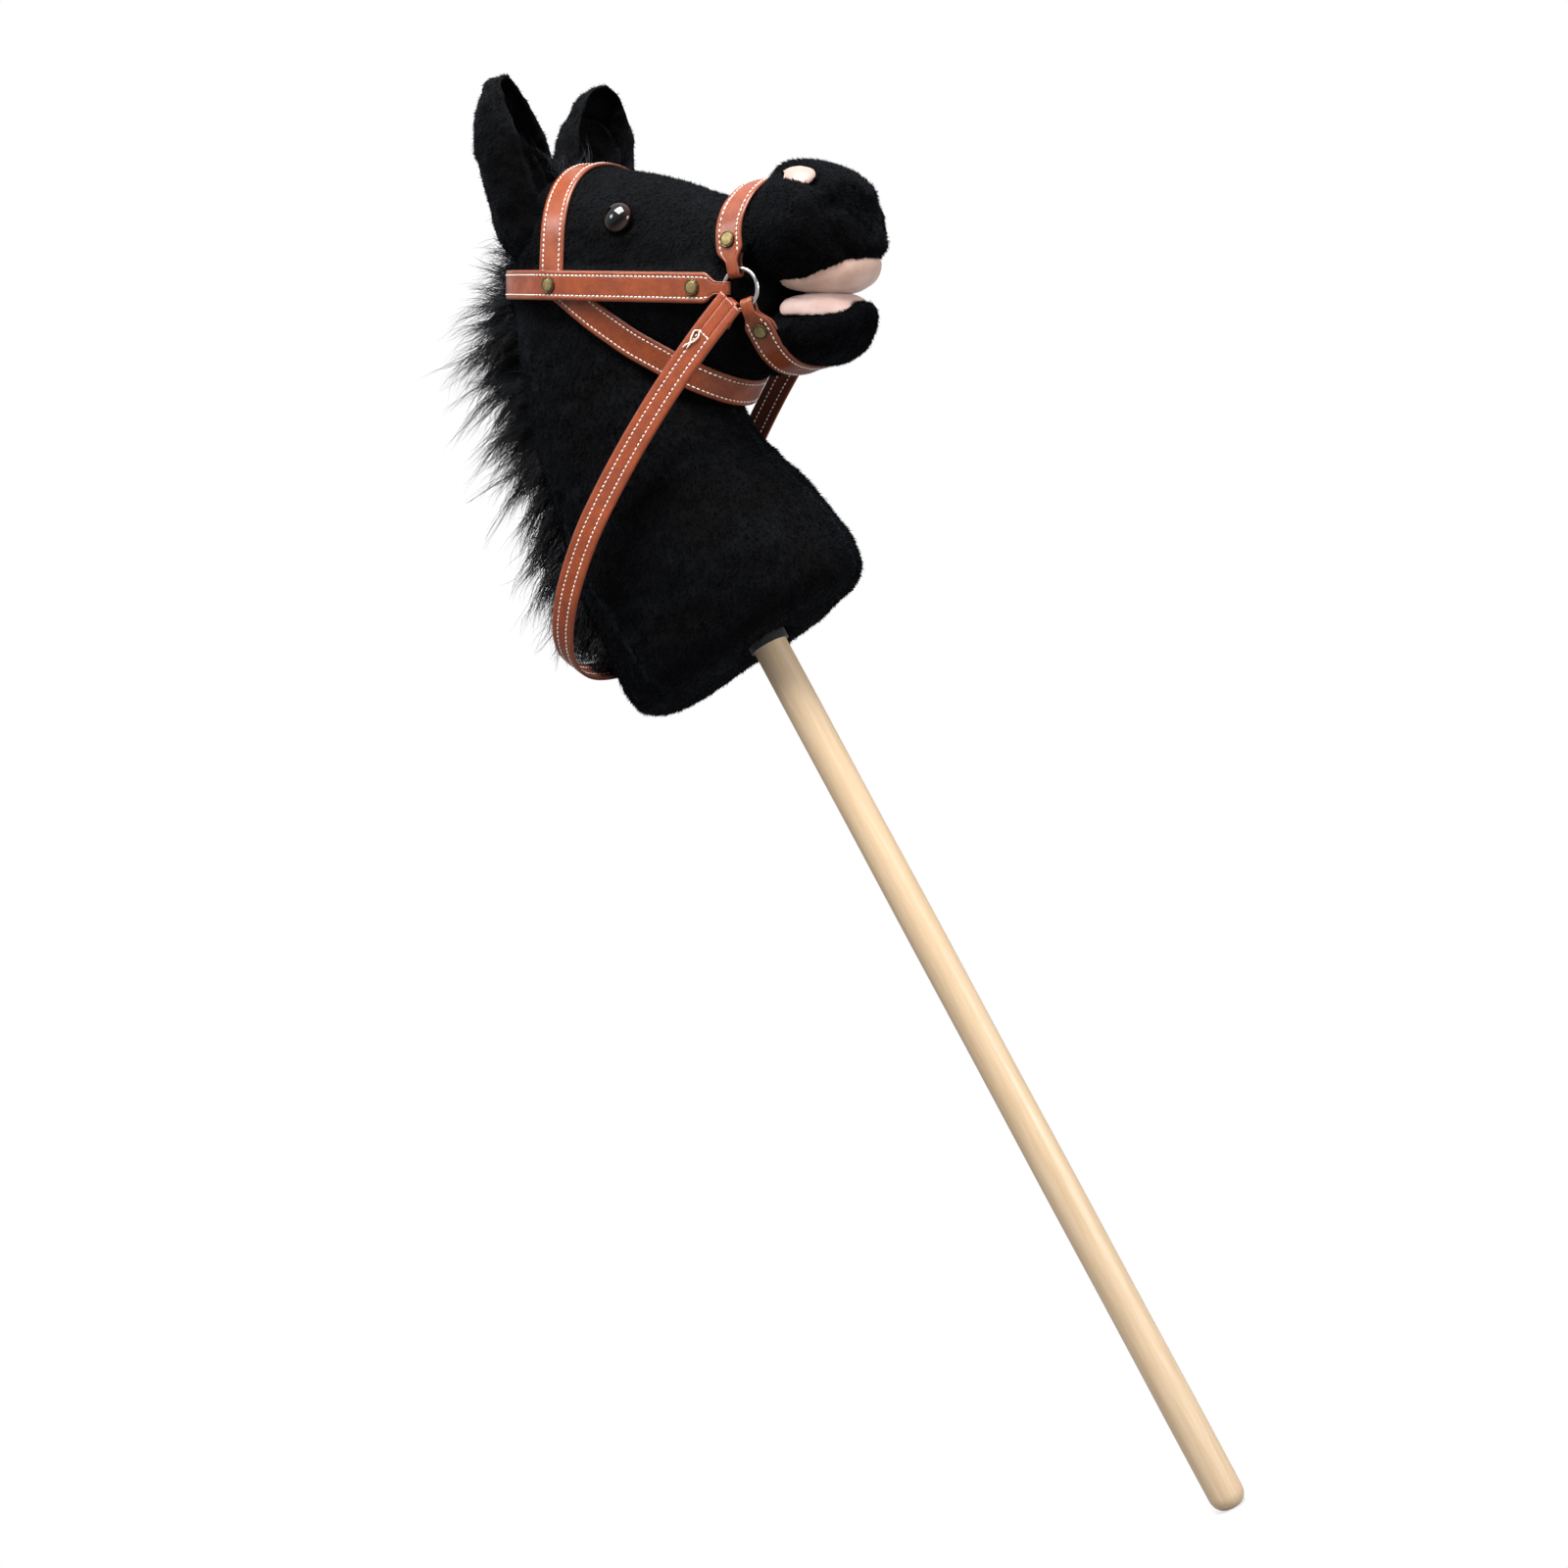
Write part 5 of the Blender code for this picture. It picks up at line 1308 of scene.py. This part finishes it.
def shape_muzzle(points, normals):
    """Cheek bulges beside the nose, a fold over each, a nostril fold and a longer upper lip."""
    head = to_head(points)
    u, side, v = head[:, 0], np.abs(head[:, 1]), head[:, 2]
    beside = ramp(side, 0.014, 0.014)
    cheek = bell(u - 0.022, 0.022) * bell(v - 0.026, 0.020, 4) * beside
    crease = bell(u - 0.0505 + 0.15 * (v - 0.035), 0.0036) * beside
    crease *= ramp(v, 0.010, 0.012) * ramp(-v, -0.058, 0.008)
    nostril = np.sqrt(((u - 0.028) / 0.0165) ** 2 + ((side - 0.0300) / 0.0085) ** 2)
    above = ramp(v, 0.046, 0.008)
    hood = bell(nostril - 1.10, 0.30) * above
    well = bell(nostril, 0.80, 4) * above
    middle = ramp(-side, -0.0335, 0.010)
    bridge = middle * middle * (3.0 - 2.0 * middle) * above * bell(u - 0.030, 0.030, 4)
    fold = bell(side - 0.0435, 0.0040) * bell(u - 0.028, 0.017, 4) * ramp(v, 0.040, 0.008)
    lift = 0.0026 * cheek - 0.0040 * crease + 0.0012 * hood - 0.0030 * well + 0.0034 * bridge + 0.0030 * fold
    points = points + normals * lift[:, None]
    lip = ramp(u, 0.034, 0.028) ** 2 * bell(v - 0.014, 0.014)
    return points + lip[:, None] * world_way(np.array((0.0100, 0.0, -0.0046)))


def shape_jaw(points, normals):
    """The lower lip turned up in front of the lining."""
    head = to_head(points)
    turned_up = ramp(head[:, 0], 0.042, 0.015) * ramp(head[:, 2], -0.030, 0.016)
    return points + turned_up[:, None] * world_way(np.array((0.0022, 0.0, 0.0070)))


def build_plush():
    """Neck with head, muzzle and jaw: remeshed from the CAD forms, swollen and sculpted."""
    made = []
    plan = (
        ("plush_body", ["neck", "head", "neck_base_panel"], BODY_VOXEL, 2, shape_body, 0.85),
        ("plush_muzzle", ["upper_muzzle"], FORM_VOXEL, 2, shape_muzzle, 0.9),
        ("plush_jaw", ["lower_jaw"], FORM_VOXEL, 2, shape_jaw, 0.9),
    )
    for number, (name, nodes, voxel, levels, sculpt, fill) in enumerate(plan):
        mesh = remeshed(name, nodes, voxel, 2)
        swell(mesh, SWELL_CAP)
        mesh = finish_plush(subdivided(mesh, levels), sculpt, 11 + 5 * number)
        item = piece(name, mesh, PLUSH, "horse", "plush", *nodes)
        made.append(item)
    return made


plush = build_plush()


def build_linings():
    """Satin cushions in the mouth and the nostril folds, drawn into faint gathers all over."""
    plan = (
        ("palate_satin", "palate_lining", PALATE_SATIN, 0.0016, palate_form),
        ("tongue_satin", "tongue_lining", TONGUE_SATIN, 0.0016, tongue_form),
        ("nostril_satin_right", "nostril_lining_right", SHADED_NOSTRIL_SATIN, 0.0011, nostril_form),
        ("nostril_satin_left", "nostril_lining_left", SHADED_NOSTRIL_SATIN, 0.0011, nostril_form),
    )
    for name, node, material, voxel, form in plan:
        mesh = subdivided(remeshed(name, [node], voxel, 4), 1)
        points, _, normals = read_mesh(mesh)
        head = to_head(points)
        gather = np.sin(head[:, 0] * 2.0 * pi / 0.0070 + 2.0 * np.sin(head[:, 1] * 160.0))
        fold = 0.00005 * gather + 0.0002 * lumps(points, 0.022, 31)
        points = world(form(head, to_head(normals + world(np.zeros(3))))) + normals * fold[:, None]
        set_points(mesh, points)
        mesh.shade_smooth()
        piece(name, mesh, material, "horse", "satin", node)


def palate_form(head, normals):
    """Filled a little more underneath; its underside rises towards the upper lip at the front."""
    u, v = head[:, 0], head[:, 2]
    under = np.clip(-normals[:, 2], 0.0, 1.0) * bell(u - 0.030, 0.022)
    front = ramp(u, 0.038, 0.026) ** 1.4 * ramp(-v, -0.018, 0.018)
    return head + np.stack([-0.0036 * front, 0.0 * u, 0.0060 * front - 0.0010 * under], 1)


def tongue_form(head, normals):
    """Puffed up in the middle until it all but meets the palate, its front drawn in behind the lip."""
    above = np.clip(normals[:, 2], 0.0, 1.0) * bell(head[:, 0] - 0.034, 0.024)
    front = ramp(head[:, 0], 0.036, 0.024)
    return head + np.stack([-0.0050 * front, 0.0 * above, 0.0030 * above], 1)


def nostril_form(head, normals):
    """Filled out downwards and outwards, where the fold leaves it showing."""
    side = np.sign(head[:, 1])
    low = ramp(np.abs(head[:, 1]), 0.0290, 0.0070)
    return head + np.stack([0.0 * low, side * 0.0036 * low, -0.0044 * low], 1)


build_linings()

# Ears: share of the height, share of the radius, and half the arc's angle
EAR_TABLE = (
    (0.00, 0.84, 125.0), (0.22, 0.92, 121.0), (0.48, 1.00, 114.0), (0.70, 0.94, 106.0), (0.86, 0.72, 97.0),
    (0.93, 0.57, 92.0), (0.98, 0.40, 86.0), (1.01, 0.22, 79.0), (1.025, 0.04, 72.0),
)
EAR_RADIUS, EAR_THICKNESS, EAR_LINING_THICKNESS = 0.0250, 0.005, 0.0015
EAR_BASE, EAR_TIP_LEAN = (-0.1670, 0.0285, 0.036), (-0.008, 0.0165)
# Right ear and left ear
EAR_HEIGHT = (0.0917, 0.0940)
EAR_BEND = (0.0, 0.008)


def ear_mesh(name, side, inset, reach, thickness, rows=44, columns=36):
    """A cupped leaf: arcs round an upright line, with a rounded rim, closing to a soft tip.

    Below its base the ear goes on for a short way, narrowing into the seam on the poll.
    """
    arc = np.linspace(-1.0, 1.0, columns)
    rim = np.radians((35.0, 90.0, 145.0))
    turn = np.concatenate([arc, np.ones(3), -arc, -np.ones(3)])
    extra = np.concatenate([np.zeros(columns), np.sin(rim), np.zeros(columns), -np.sin(rim)[::-1]])
    flat = np.full(columns, 0.5)
    off = np.concatenate([flat, 0.5 * np.cos(rim), -flat, -0.5 * np.cos(rim)])
    rise = np.sin(0.5 * pi * np.linspace(0.0, 1.0, rows))
    tuck = np.linspace(-1.0, 0.0, 9)[:-1] if not inset else np.zeros(0)
    share = np.concatenate([0.24 * tuck, reach * rise])
    rise = np.concatenate([np.zeros(len(tuck)), rise])
    tuck = np.concatenate([tuck**2, np.zeros(rows)])
    scale, spread = read_table(EAR_TABLE, share).T
    scale = scale * (1.0 - 0.52 * tuck)
    if inset:
        spread = spread * 0.90 * np.sqrt(1.0 - 0.97 * rise**4)
    radius = EAR_RADIUS * scale - inset
    angle = np.radians(spread)[:, None] * turn[None] + 0.5 * thickness * extra[None] / radius[:, None]
    angle = angle + pi - 0.25
    thick = thickness * np.clip(1.5 * (1.0 - share / 1.04), 0.40, 1.0)
    reach_out = radius[:, None] + thick[:, None] * off[None]
    which = 0 if side < 0.0 else 1
    bend = EAR_BEND[which] * np.clip(share, 0.0, 1.0)[:, None] ** 2
    u = EAR_BASE[0] + EAR_TIP_LEAN[0] * share[:, None] + bend + 0.007 * tuck[:, None]
    y = EAR_BASE[1] + EAR_TIP_LEAN[1] * share[:, None] - 0.005 * tuck[:, None]
    v = np.repeat((EAR_BASE[2] + EAR_HEIGHT[which] * share)[:, None], len(turn), 1)
    head = np.stack([u + reach_out * np.cos(angle), side * (y + reach_out * np.sin(angle)), v], -1)
    mesh = sweep(name, world(head))
    points, _, normals = read_mesh(mesh)
    uneven = 0.0007 * lumps(points, 0.016, 51 + int(side)) + 0.0003 * lumps(points, 0.006, 57)
    set_points(mesh, points + normals * uneven[:, None])
    return mesh


def build_ears():
    """Both ears with a lining set into each cup."""
    made = []
    inset = 0.5 * (EAR_THICKNESS + EAR_LINING_THICKNESS) + 3.0 * GAP
    for side, word in ((-1.0, "right"), (1.0, "left")):
        ear = ear_mesh("ear_plush_" + word, side, 0.0, 1.025, EAR_THICKNESS)
        lining = ear_mesh("ear_lining_plush_" + word, side, inset, 0.82, EAR_LINING_THICKNESS)
        # The ears have no seams, so no painted seam sheen
        for mesh in (ear, lining):
            put_values(mesh, "seam", np.zeros(len(mesh.vertices)))
        made.append(piece(ear.name, ear, EAR_PLUSH, "horse", "plush", "ear_" + word))
        made.append(piece(lining.name, lining, EAR_LINING, "horse", "plush", "ear_lining_" + word))
    return made


ears = build_ears()


# Pile
def sample_surface(mesh, count, rng):
    """Random places on a mesh, evenly by area, with the surface normals there."""
    points, triangles, normals = read_mesh(mesh)
    a, b, c = (points[triangles[:, k]] for k in range(3))
    area = 0.5 * np.linalg.norm(np.cross(b - a, c - a), axis=1)
    pick = rng.choice(len(area), count, p=area / area.sum())
    r, s = rng.random(count), rng.random(count)
    r, s = np.where(r + s > 1.0, 1.0 - r, r), np.where(r + s > 1.0, 1.0 - s, s)
    w = (1.0 - r - s, r, s)
    tri = triangles[pick]
    place = sum(w[k][:, None] * points[tri[:, k]] for k in range(3))
    normal = unit(sum(w[k][:, None] * normals[tri[:, k]] for k in range(3)))
    return place, normal


def cones(name, roots, ways, lengths, widths, tones):
    """Fibres: slim three-sided cones, each a root triangle and a tip."""
    side = unit(np.cross(ways, np.array((0.31, 0.52, 0.79))))
    other = np.cross(ways, side)
    corners = [roots + (side * cos(a) + other * sin(a)) * widths[:, None] for a in THIRDS]
    points = np.stack(corners + [roots + ways * lengths[:, None]], 1)
    count = len(roots)
    faces = np.array([(0, 1, 3), (1, 2, 3), (2, 0, 3), (0, 2, 1)])
    faces = (faces[None] + 4 * np.arange(count)[:, None, None]).reshape(-1, 3)
    mesh = build_mesh(name, points.reshape(-1, 3), faces, smooth=False)
    # The share from root to tip, which carries the painted shade and painted sheen along each fibre
    put_values(mesh, "tip", np.tile((0.0, 0.0, 0.0, 1.0), count))
    put_values(mesh, "tone", np.repeat(tones, 4))
    return mesh


def nap_ways(places):
    """The way the pile lies: back along the head, down the neck, stirred by slow swirls."""
    head = to_head(places)
    on_head = ramp(head[:, 2], -0.050, 0.020)[:, None]
    back = world_way(np.array((-1.0, 0.0, -0.25)))
    way = on_head * back + (1.0 - on_head) * np.array((-0.2, 0.0, -1.0))
    swirl = np.stack([lumps(places, 0.06, 71 + k) for k in range(3)], 1)
    return unit(way + 0.45 * swirl)


def grow_pile(name, mesh, count, seed, length=PILE_LENGTH, width=PILE_WIDTH, lift=0.52):
    """Fibres all over a form, but for what lies under the straps, the eyes and the stick."""
    rng = np.random.default_rng(seed)
    place, normal = sample_surface(mesh, count, rng)
    height, across, _ = strap_places(place, BRIDLE_FRAMES)
    clear = ~((across < 0.0098) & (np.abs(height) < 0.0045))
    for eye in eye_places:
        clear &= np.linalg.norm(place - eye, axis=1) > 0.0098
    stick_away = np.hypot(place[:, 0], place[:, 1])
    clear &= ~((stick_away < 0.0165) & (place[:, 2] < 0.75))
    place, normal = place[clear], normal[clear]
    nap = nap_ways(place)
    nap = unit(nap - normal * np.sum(nap * normal, 1, keepdims=True))
    stray = rng.normal(0.0, 0.22, place.shape)
    rise = lift * (1.0 + 0.35 * lumps(place, 0.010, seed + 3))
    ways = unit(normal * rise[:, None] + nap * 0.75 + stray)
    total = len(place)
    lengths = length * rng.uniform(0.6, 1.25, total)
    long_ones = rng.random(total) < 0.04
    lengths = np.where(long_ones, lengths * 1.35, lengths)
    tones = rng.random(total) ** 1.5
    widths = width * rng.uniform(0.7, 1.2, total)
    fibres = cones(name, place - normal * 0.0003, ways, lengths, widths, tones)
    return piece(name, fibres, PILE, "horse", "plush")


for number in range(4):
    grow_pile(f"body_pile_{number + 1}", plush[0].data, 35000, 100 + number)
grow_pile("muzzle_pile", plush[1].data, 32000, 120)
grow_pile("jaw_pile", plush[2].data, 22000, 130)
for number, item in enumerate(ears):
    short, count = (0.75, 5500) if "lining" in item.name else (1.0, 16500)
    length = 0.85 * PILE_LENGTH * short
    grow_pile(item.name.replace("plush", "pile"), item.data, count, 140 + number, length)


# Mane
def strand_mesh(name, paths, radii, tones):
    """Hairs: three-sided tubes along their paths, thinning to a point."""
    count, steps, _ = paths.shape
    way = unit(np.gradient(paths, axis=1))
    side = unit(np.cross(way, np.array((0.21, 0.93, 0.30))))
    other = np.cross(way, side)
    thin = np.clip(1.0 - np.linspace(0.0, 1.0, steps) ** 2.2, 0.04, 1.0)
    width = radii[:, None] * thin[None]
    rings = [paths + (side * cos(a) + other * sin(a)) * width[..., None] for a in THIRDS]
    points = np.stack(rings, 2).reshape(-1, 3)
    quads = tube_quads(steps, 3)
    last = 3 * (steps - 1)
    ends = [(0, 2, 1), (last, last + 1, last + 2)]
    tris = np.concatenate([quads[:, [0, 1, 2]], quads[:, [0, 2, 3]], ends])
    faces = (tris[None] + (3 * steps * np.arange(count))[:, None, None]).reshape(-1, 3)
    mesh = build_mesh(name, points, faces)
    # The share from root to tip, which carries the painted shade and painted sheen along each hair
    put_values(mesh, "tip", np.tile(np.repeat(np.linspace(0.0, 1.0, steps), 3), count))
    put_values(mesh, "tone", np.repeat(tones, 3 * steps))
    return mesh


plush_tree = BVHTree.FromPolygons(*[x.tolist() for x in read_mesh(plush[0].data)[:2]])

# Heights where the mane starts and where it turns forward, and the share of it that lies below
MANE_LOW, MANE_TURN, MANE_TURN_SHARE = 0.640, 0.842, 0.62


def mane_root(share, y):
    """A place on the back of the neck or over the poll, and the way out there.

    Share 0 is low on the neck and 1 between the ears. Up to MANE_TURN_SHARE the places rise straight
    up the neck; above it they turn forward round a point inside the poll.
    """
    if share < MANE_TURN_SHARE:
        z = MANE_LOW + (MANE_TURN - MANE_LOW) * share / MANE_TURN_SHARE
        begin, way = Vector((-0.30, y, z)), Vector((1.0, 0.0, 0.0))
    else:
        turn = radians(180.0 - 82.0 * (share - MANE_TURN_SHARE) / 0.38)
        centre = np.array((0.004, y, MANE_TURN))
        begin = Vector(centre + 0.25 * np.array((cos(turn), 0.0, sin(turn))))
        way = Vector((-cos(turn), 0.0, -sin(turn)))
    point = plush_tree.ray_cast(begin, way)[0]
    return (np.array(point), -np.array(way)) if point is not None else None


# Along the mane from low to high: length, rise or fall of a lock, droop of its end
MANE_SHARES = (0.0, 0.15, 0.35, 0.55, 0.70, 0.85, 1.0)
MANE_LENGTHS = (0.050, 0.052, 0.058, 0.064, 0.058, 0.044, 0.032)
MANE_RISES = (-0.75, -0.45, -0.20, 0.15, 0.32, 0.30, 0.30)
MANE_DROOPS = (0.30, 0.35, 0.40, 0.40, 0.45, 0.50, 0.40)
MANE_BACK_LIMIT = -0.1260
MANE_BACK_EASE = 0.0165
MANE_SIDE_LIMIT = 0.062
MANE_SIDE_EASE = 0.018


def held_in(paths):
    """Bend hair back where it would stand too far out behind or to the sides."""
    over = np.minimum(paths[..., 0] - MANE_BACK_LIMIT, 0.0)
    paths[..., 0] += MANE_BACK_EASE * np.tanh(over / MANE_BACK_EASE) - over
    wide = np.maximum(np.abs(paths[..., 1]) - MANE_SIDE_LIMIT, 0.0)
    eased_wide = MANE_SIDE_EASE * np.tanh(wide / MANE_SIDE_EASE)
    paths[..., 1] -= np.sign(paths[..., 1]) * (wide - eased_wide)
    return paths


def grow_mane(name, locks, strands, seed, low, high, width, share_of_length):
    """Locks of hair: each lock has its own way and curl, and its strands feather out near its tip."""
    rng = np.random.default_rng(seed)
    t = np.linspace(0.0, 1.0, 7)
    paths, radii, tones = [], [], []
    for _ in range(locks):
        share = rng.uniform(low, high)
        y = rng.normal(0.0, width)
        found = mane_root(share, y)
        if found is None:
            continue
        root, out = found
        long = np.interp(share, MANE_SHARES, MANE_LENGTHS) * rng.uniform(0.60, 1.15) * share_of_length
        rise = np.interp(share, MANE_SHARES, MANE_RISES) + rng.normal(0.0, 0.22)
        aside = 16.0 * y + rng.normal(0.0, 0.34)
        way = unit(out + np.array((0.0, aside, rise)))
        droop = np.interp(share, MANE_SHARES, MANE_DROOPS) * rng.uniform(0.5, 1.4)
        curl_way = unit(rng.normal(size=3))
        curl = 0.075 * long * np.sin(t * rng.uniform(2.0, 5.5) + rng.uniform(0.0, 6.0))
        fall = np.array((-0.20, 0.25 * np.sign(y), -1.0)) * droop
        middle = long * (way * (t - 0.15 * t**2)[:, None] + fall * (0.55 * t**2)[:, None])
        middle = middle + curl_way * (curl - curl[0])[:, None]
        count = int(strands * rng.uniform(0.6, 1.4))
        spread = rng.normal(0.0, 0.0024, (count, 1, 3))
        stray = rng.normal(0.0, 1.0, (count, 1, 3)) * (0.0019 * t**1.7)[None, :, None]
        wave = rng.normal(0.0, 1.0, (count, 1, 3))
        wave = wave * (0.0012 * np.sin(t * 9.0 + rng.uniform(0.0, 6.0)))[None, :, None]
        reach = rng.uniform(0.50, 1.10, (count, 1, 1))
        spread = spread * (1.0 - 0.86 * t)[None, :, None]
        paths.append(root + middle[None] * reach + spread + stray + wave)
        radii.append(rng.uniform(0.00016, 0.00031, count))
        tones.append(rng.random(count) ** 1.3)
    paths = tuck_under_rein(held_in(np.vstack(paths)))
    return strand_mesh(name, paths, np.concatenate(radii), np.concatenate(tones))


def build_mane():
    """Long locks in three layers, a short bed that hides their roots, a crest, and wisps at the ears.

    Each row gives locks, hairs in a lock, from where to where they grow, how far they spread to the
    sides, and their share of the mane's length there.
    """
    plan = (
        ("mane_hair_1", 210, 17, 0.00, 0.93, 0.0080, 1.00, ("mane",)),
        ("mane_hair_2", 210, 17, 0.00, 0.93, 0.0095, 1.00, ()),
        ("mane_hair_3", 210, 17, 0.08, 0.72, 0.0070, 1.10, ()),
        ("mane_bed", 210, 17, 0.00, 0.95, 0.0100, 0.48, ()),
        ("forelock_hair", 60, 14, 0.90, 1.00, 0.0070, 1.05, ("forelock",)),
        ("forelock_wisps", 18, 7, 1.06, 1.17, 0.0060, 1.25, ()),
        ("mane_crest", 46, 15, 0.58, 0.88, 0.0090, 1.12, ()),
    )
    for number, (name, locks, strands, low, high, width, share, nodes) in enumerate(plan):
        mesh = grow_mane(name, locks, strands, 200 + number, low, high, width, share)
        piece(name, mesh, HAIR, "horse", "hair", *nodes)


build_mane()


# Camera, light and floor
FRAME_SIDE = 1600.0
FOCAL_PIXELS = 2256.0
SENSOR_WIDTH = 36.0


def build_camera():
    """A camera at the photograph's viewing angle; returns where it stands and how it is turned."""
    data = bpy.data.cameras.new("photo_camera")
    data.sensor_width = SENSOR_WIDTH
    data.lens = SENSOR_WIDTH * FOCAL_PIXELS / FRAME_SIDE
    item = put_in_scene("photo_camera", data)
    right = Vector((0.70799114, 0.52991926, -0.46683414))
    up = Vector((0.45501062, 0.16326789, 0.87539073))
    back = Vector((0.54010544, -0.83218338, -0.12552667))
    place = Matrix((right, up, back)).transposed().to_4x4()
    place.translation = Vector((0.71119304, -1.15652581, 0.33286056))
    item.matrix_world = place
    data.clip_start, data.clip_end = 0.05, 50.0
    bpy.context.scene.camera = item
    return place


def build_lights(place):
    """A broad lamp above the camera, a weaker one at its right and a small one at its left.

    Each row gives the way to the lamp from the camera's own axes, its distance, size and power.
    """
    turn = place.to_3x3()
    middle = Vector((0.0, 0.0, 0.62))
    for name, way, far, size, watts in (
        ("key", (-0.30, 1.00, 0.60), 1.5, 0.9, 52.0),
        ("side", (0.95, 0.30, 0.75), 1.7, 0.6, 16.0),
        ("window", (-1.00, 0.55, 0.45), 1.6, 0.35, 5.0),
    ):
        data = bpy.data.lights.new(name, "AREA")
        data.shape = "SQUARE"
        data.size = size
        data.energy = watts
        item = put_in_scene(name, data)
        away = (turn @ Vector(way)).normalized()
        item.location = middle + away * far
        item.rotation_euler = (-away).to_track_quat("-Z", "Y").to_euler()


def build_world():
    """White behind the toy; the light it gives falls from above and fades towards the floor."""
    scene = bpy.context.scene
    scene.world = bpy.data.worlds.new("studio")
    scene.world.use_nodes = True
    tree = scene.world.node_tree
    link = tree.links.new
    back = tree.nodes["Background"]
    place = add_node(tree, "ShaderNodeTexCoord")
    parts = add_node(tree, "ShaderNodeSeparateXYZ")
    rise = {"From Min": -0.25, "From Max": 0.95}
    height = add_node(tree, "ShaderNodeMapRange", rise, interpolation_type="SMOOTHSTEP")
    sky = add_node(tree, "ShaderNodeMix", data_type="RGBA")
    sky.inputs["A"].default_value = (0.12, 0.12, 0.13, 1.0)
    sky.inputs["B"].default_value = (0.92, 0.95, 1.0, 1.0)
    path = add_node(tree, "ShaderNodeLightPath")
    either = add_node(tree, "ShaderNodeMath", operation="MAXIMUM")
    mix = add_node(tree, "ShaderNodeMix", data_type="RGBA")
    mix.inputs["B"].default_value = (1.0, 1.0, 1.0, 1.0)
    link(place.outputs["Generated"], parts.inputs["Vector"])
    link(parts.outputs["Z"], height.inputs["Value"])
    link(height.outputs["Result"], sky.inputs["Factor"])
    link(sky.outputs["Result"], mix.inputs["A"])
    link(path.outputs["Is Camera Ray"], either.inputs[0])
    link(path.outputs["Is Transmission Ray"], either.inputs[1])
    link(either.outputs["Value"], mix.inputs["Factor"])
    link(mix.outputs["Result"], back.inputs["Color"])
    back.inputs["Strength"].default_value = 1.0


def build_floor():
    """A white floor that keeps a soft shadow near the stick's foot and fades to plain white."""
    count = 40
    axis = np.linspace(-6.0, 6.0, count)
    gx, gy = np.meshgrid(axis, axis)
    points = np.stack([gx.ravel(), gy.ravel(), np.full(gx.size, -0.0002)], 1)
    i, j = np.meshgrid(np.arange(count - 1), np.arange(count - 1))
    first = (i * count + j).ravel()
    faces = np.stack([first, first + 1, first + count + 1, first + count], 1)
    mesh = build_mesh("floor", points, faces)
    finish = bpy.data.materials.new("floor_white")
    finish.use_nodes = True
    tree = finish.node_tree
    shader = tree.nodes["Principled BSDF"]
    shader.inputs["Roughness"].default_value = 0.9
    tone = add_node(tree, "ShaderNodeMix", data_type="RGBA")
    tone.inputs["A"].default_value = (0.30, 0.30, 0.30, 1.0)
    tone.inputs["B"].default_value = (0.90, 0.90, 0.90, 1.0)
    glow = add_node(tree, "ShaderNodeEmission", {"Strength": 1.0})
    place = add_node(tree, "ShaderNodeTexCoord")
    away = add_node(tree, "ShaderNodeVectorMath", operation="LENGTH")
    reach = {"From Min": 0.02, "From Max": 0.30, "To Min": 0.70, "To Max": 1.0}
    fade = add_node(tree, "ShaderNodeMapRange", reach)
    path = add_node(tree, "ShaderNodeLightPath")
    seen = add_node(tree, "ShaderNodeMath", operation="MAXIMUM")
    share = add_node(tree, "ShaderNodeMath", operation="MULTIPLY")
    mix = add_node(tree, "ShaderNodeMixShader")
    link = tree.links.new
    link(path.outputs["Is Camera Ray"], tone.inputs["Factor"])
    link(tone.outputs["Result"], shader.inputs["Base Color"])
    link(place.outputs["Object"], away.inputs[0])
    link(away.outputs["Value"], fade.inputs["Value"])
    link(path.outputs["Is Camera Ray"], seen.inputs[0])
    link(path.outputs["Is Transmission Ray"], seen.inputs[1])
    link(fade.outputs["Result"], share.inputs[0])
    link(seen.outputs["Value"], share.inputs[1])
    link(share.outputs["Value"], mix.inputs["Fac"])
    link(shader.outputs["BSDF"], mix.inputs[1])
    link(glow.outputs["Emission"], mix.inputs[2])
    link(mix.outputs["Shader"], tree.nodes["Material Output"].inputs["Surface"])
    mesh.materials.append(finish)
    item = put_in_scene("floor", mesh)


photo_place = build_camera()
build_lights(photo_place)
build_world()
build_floor()
bpy.context.scene.view_settings.view_transform = "Standard"
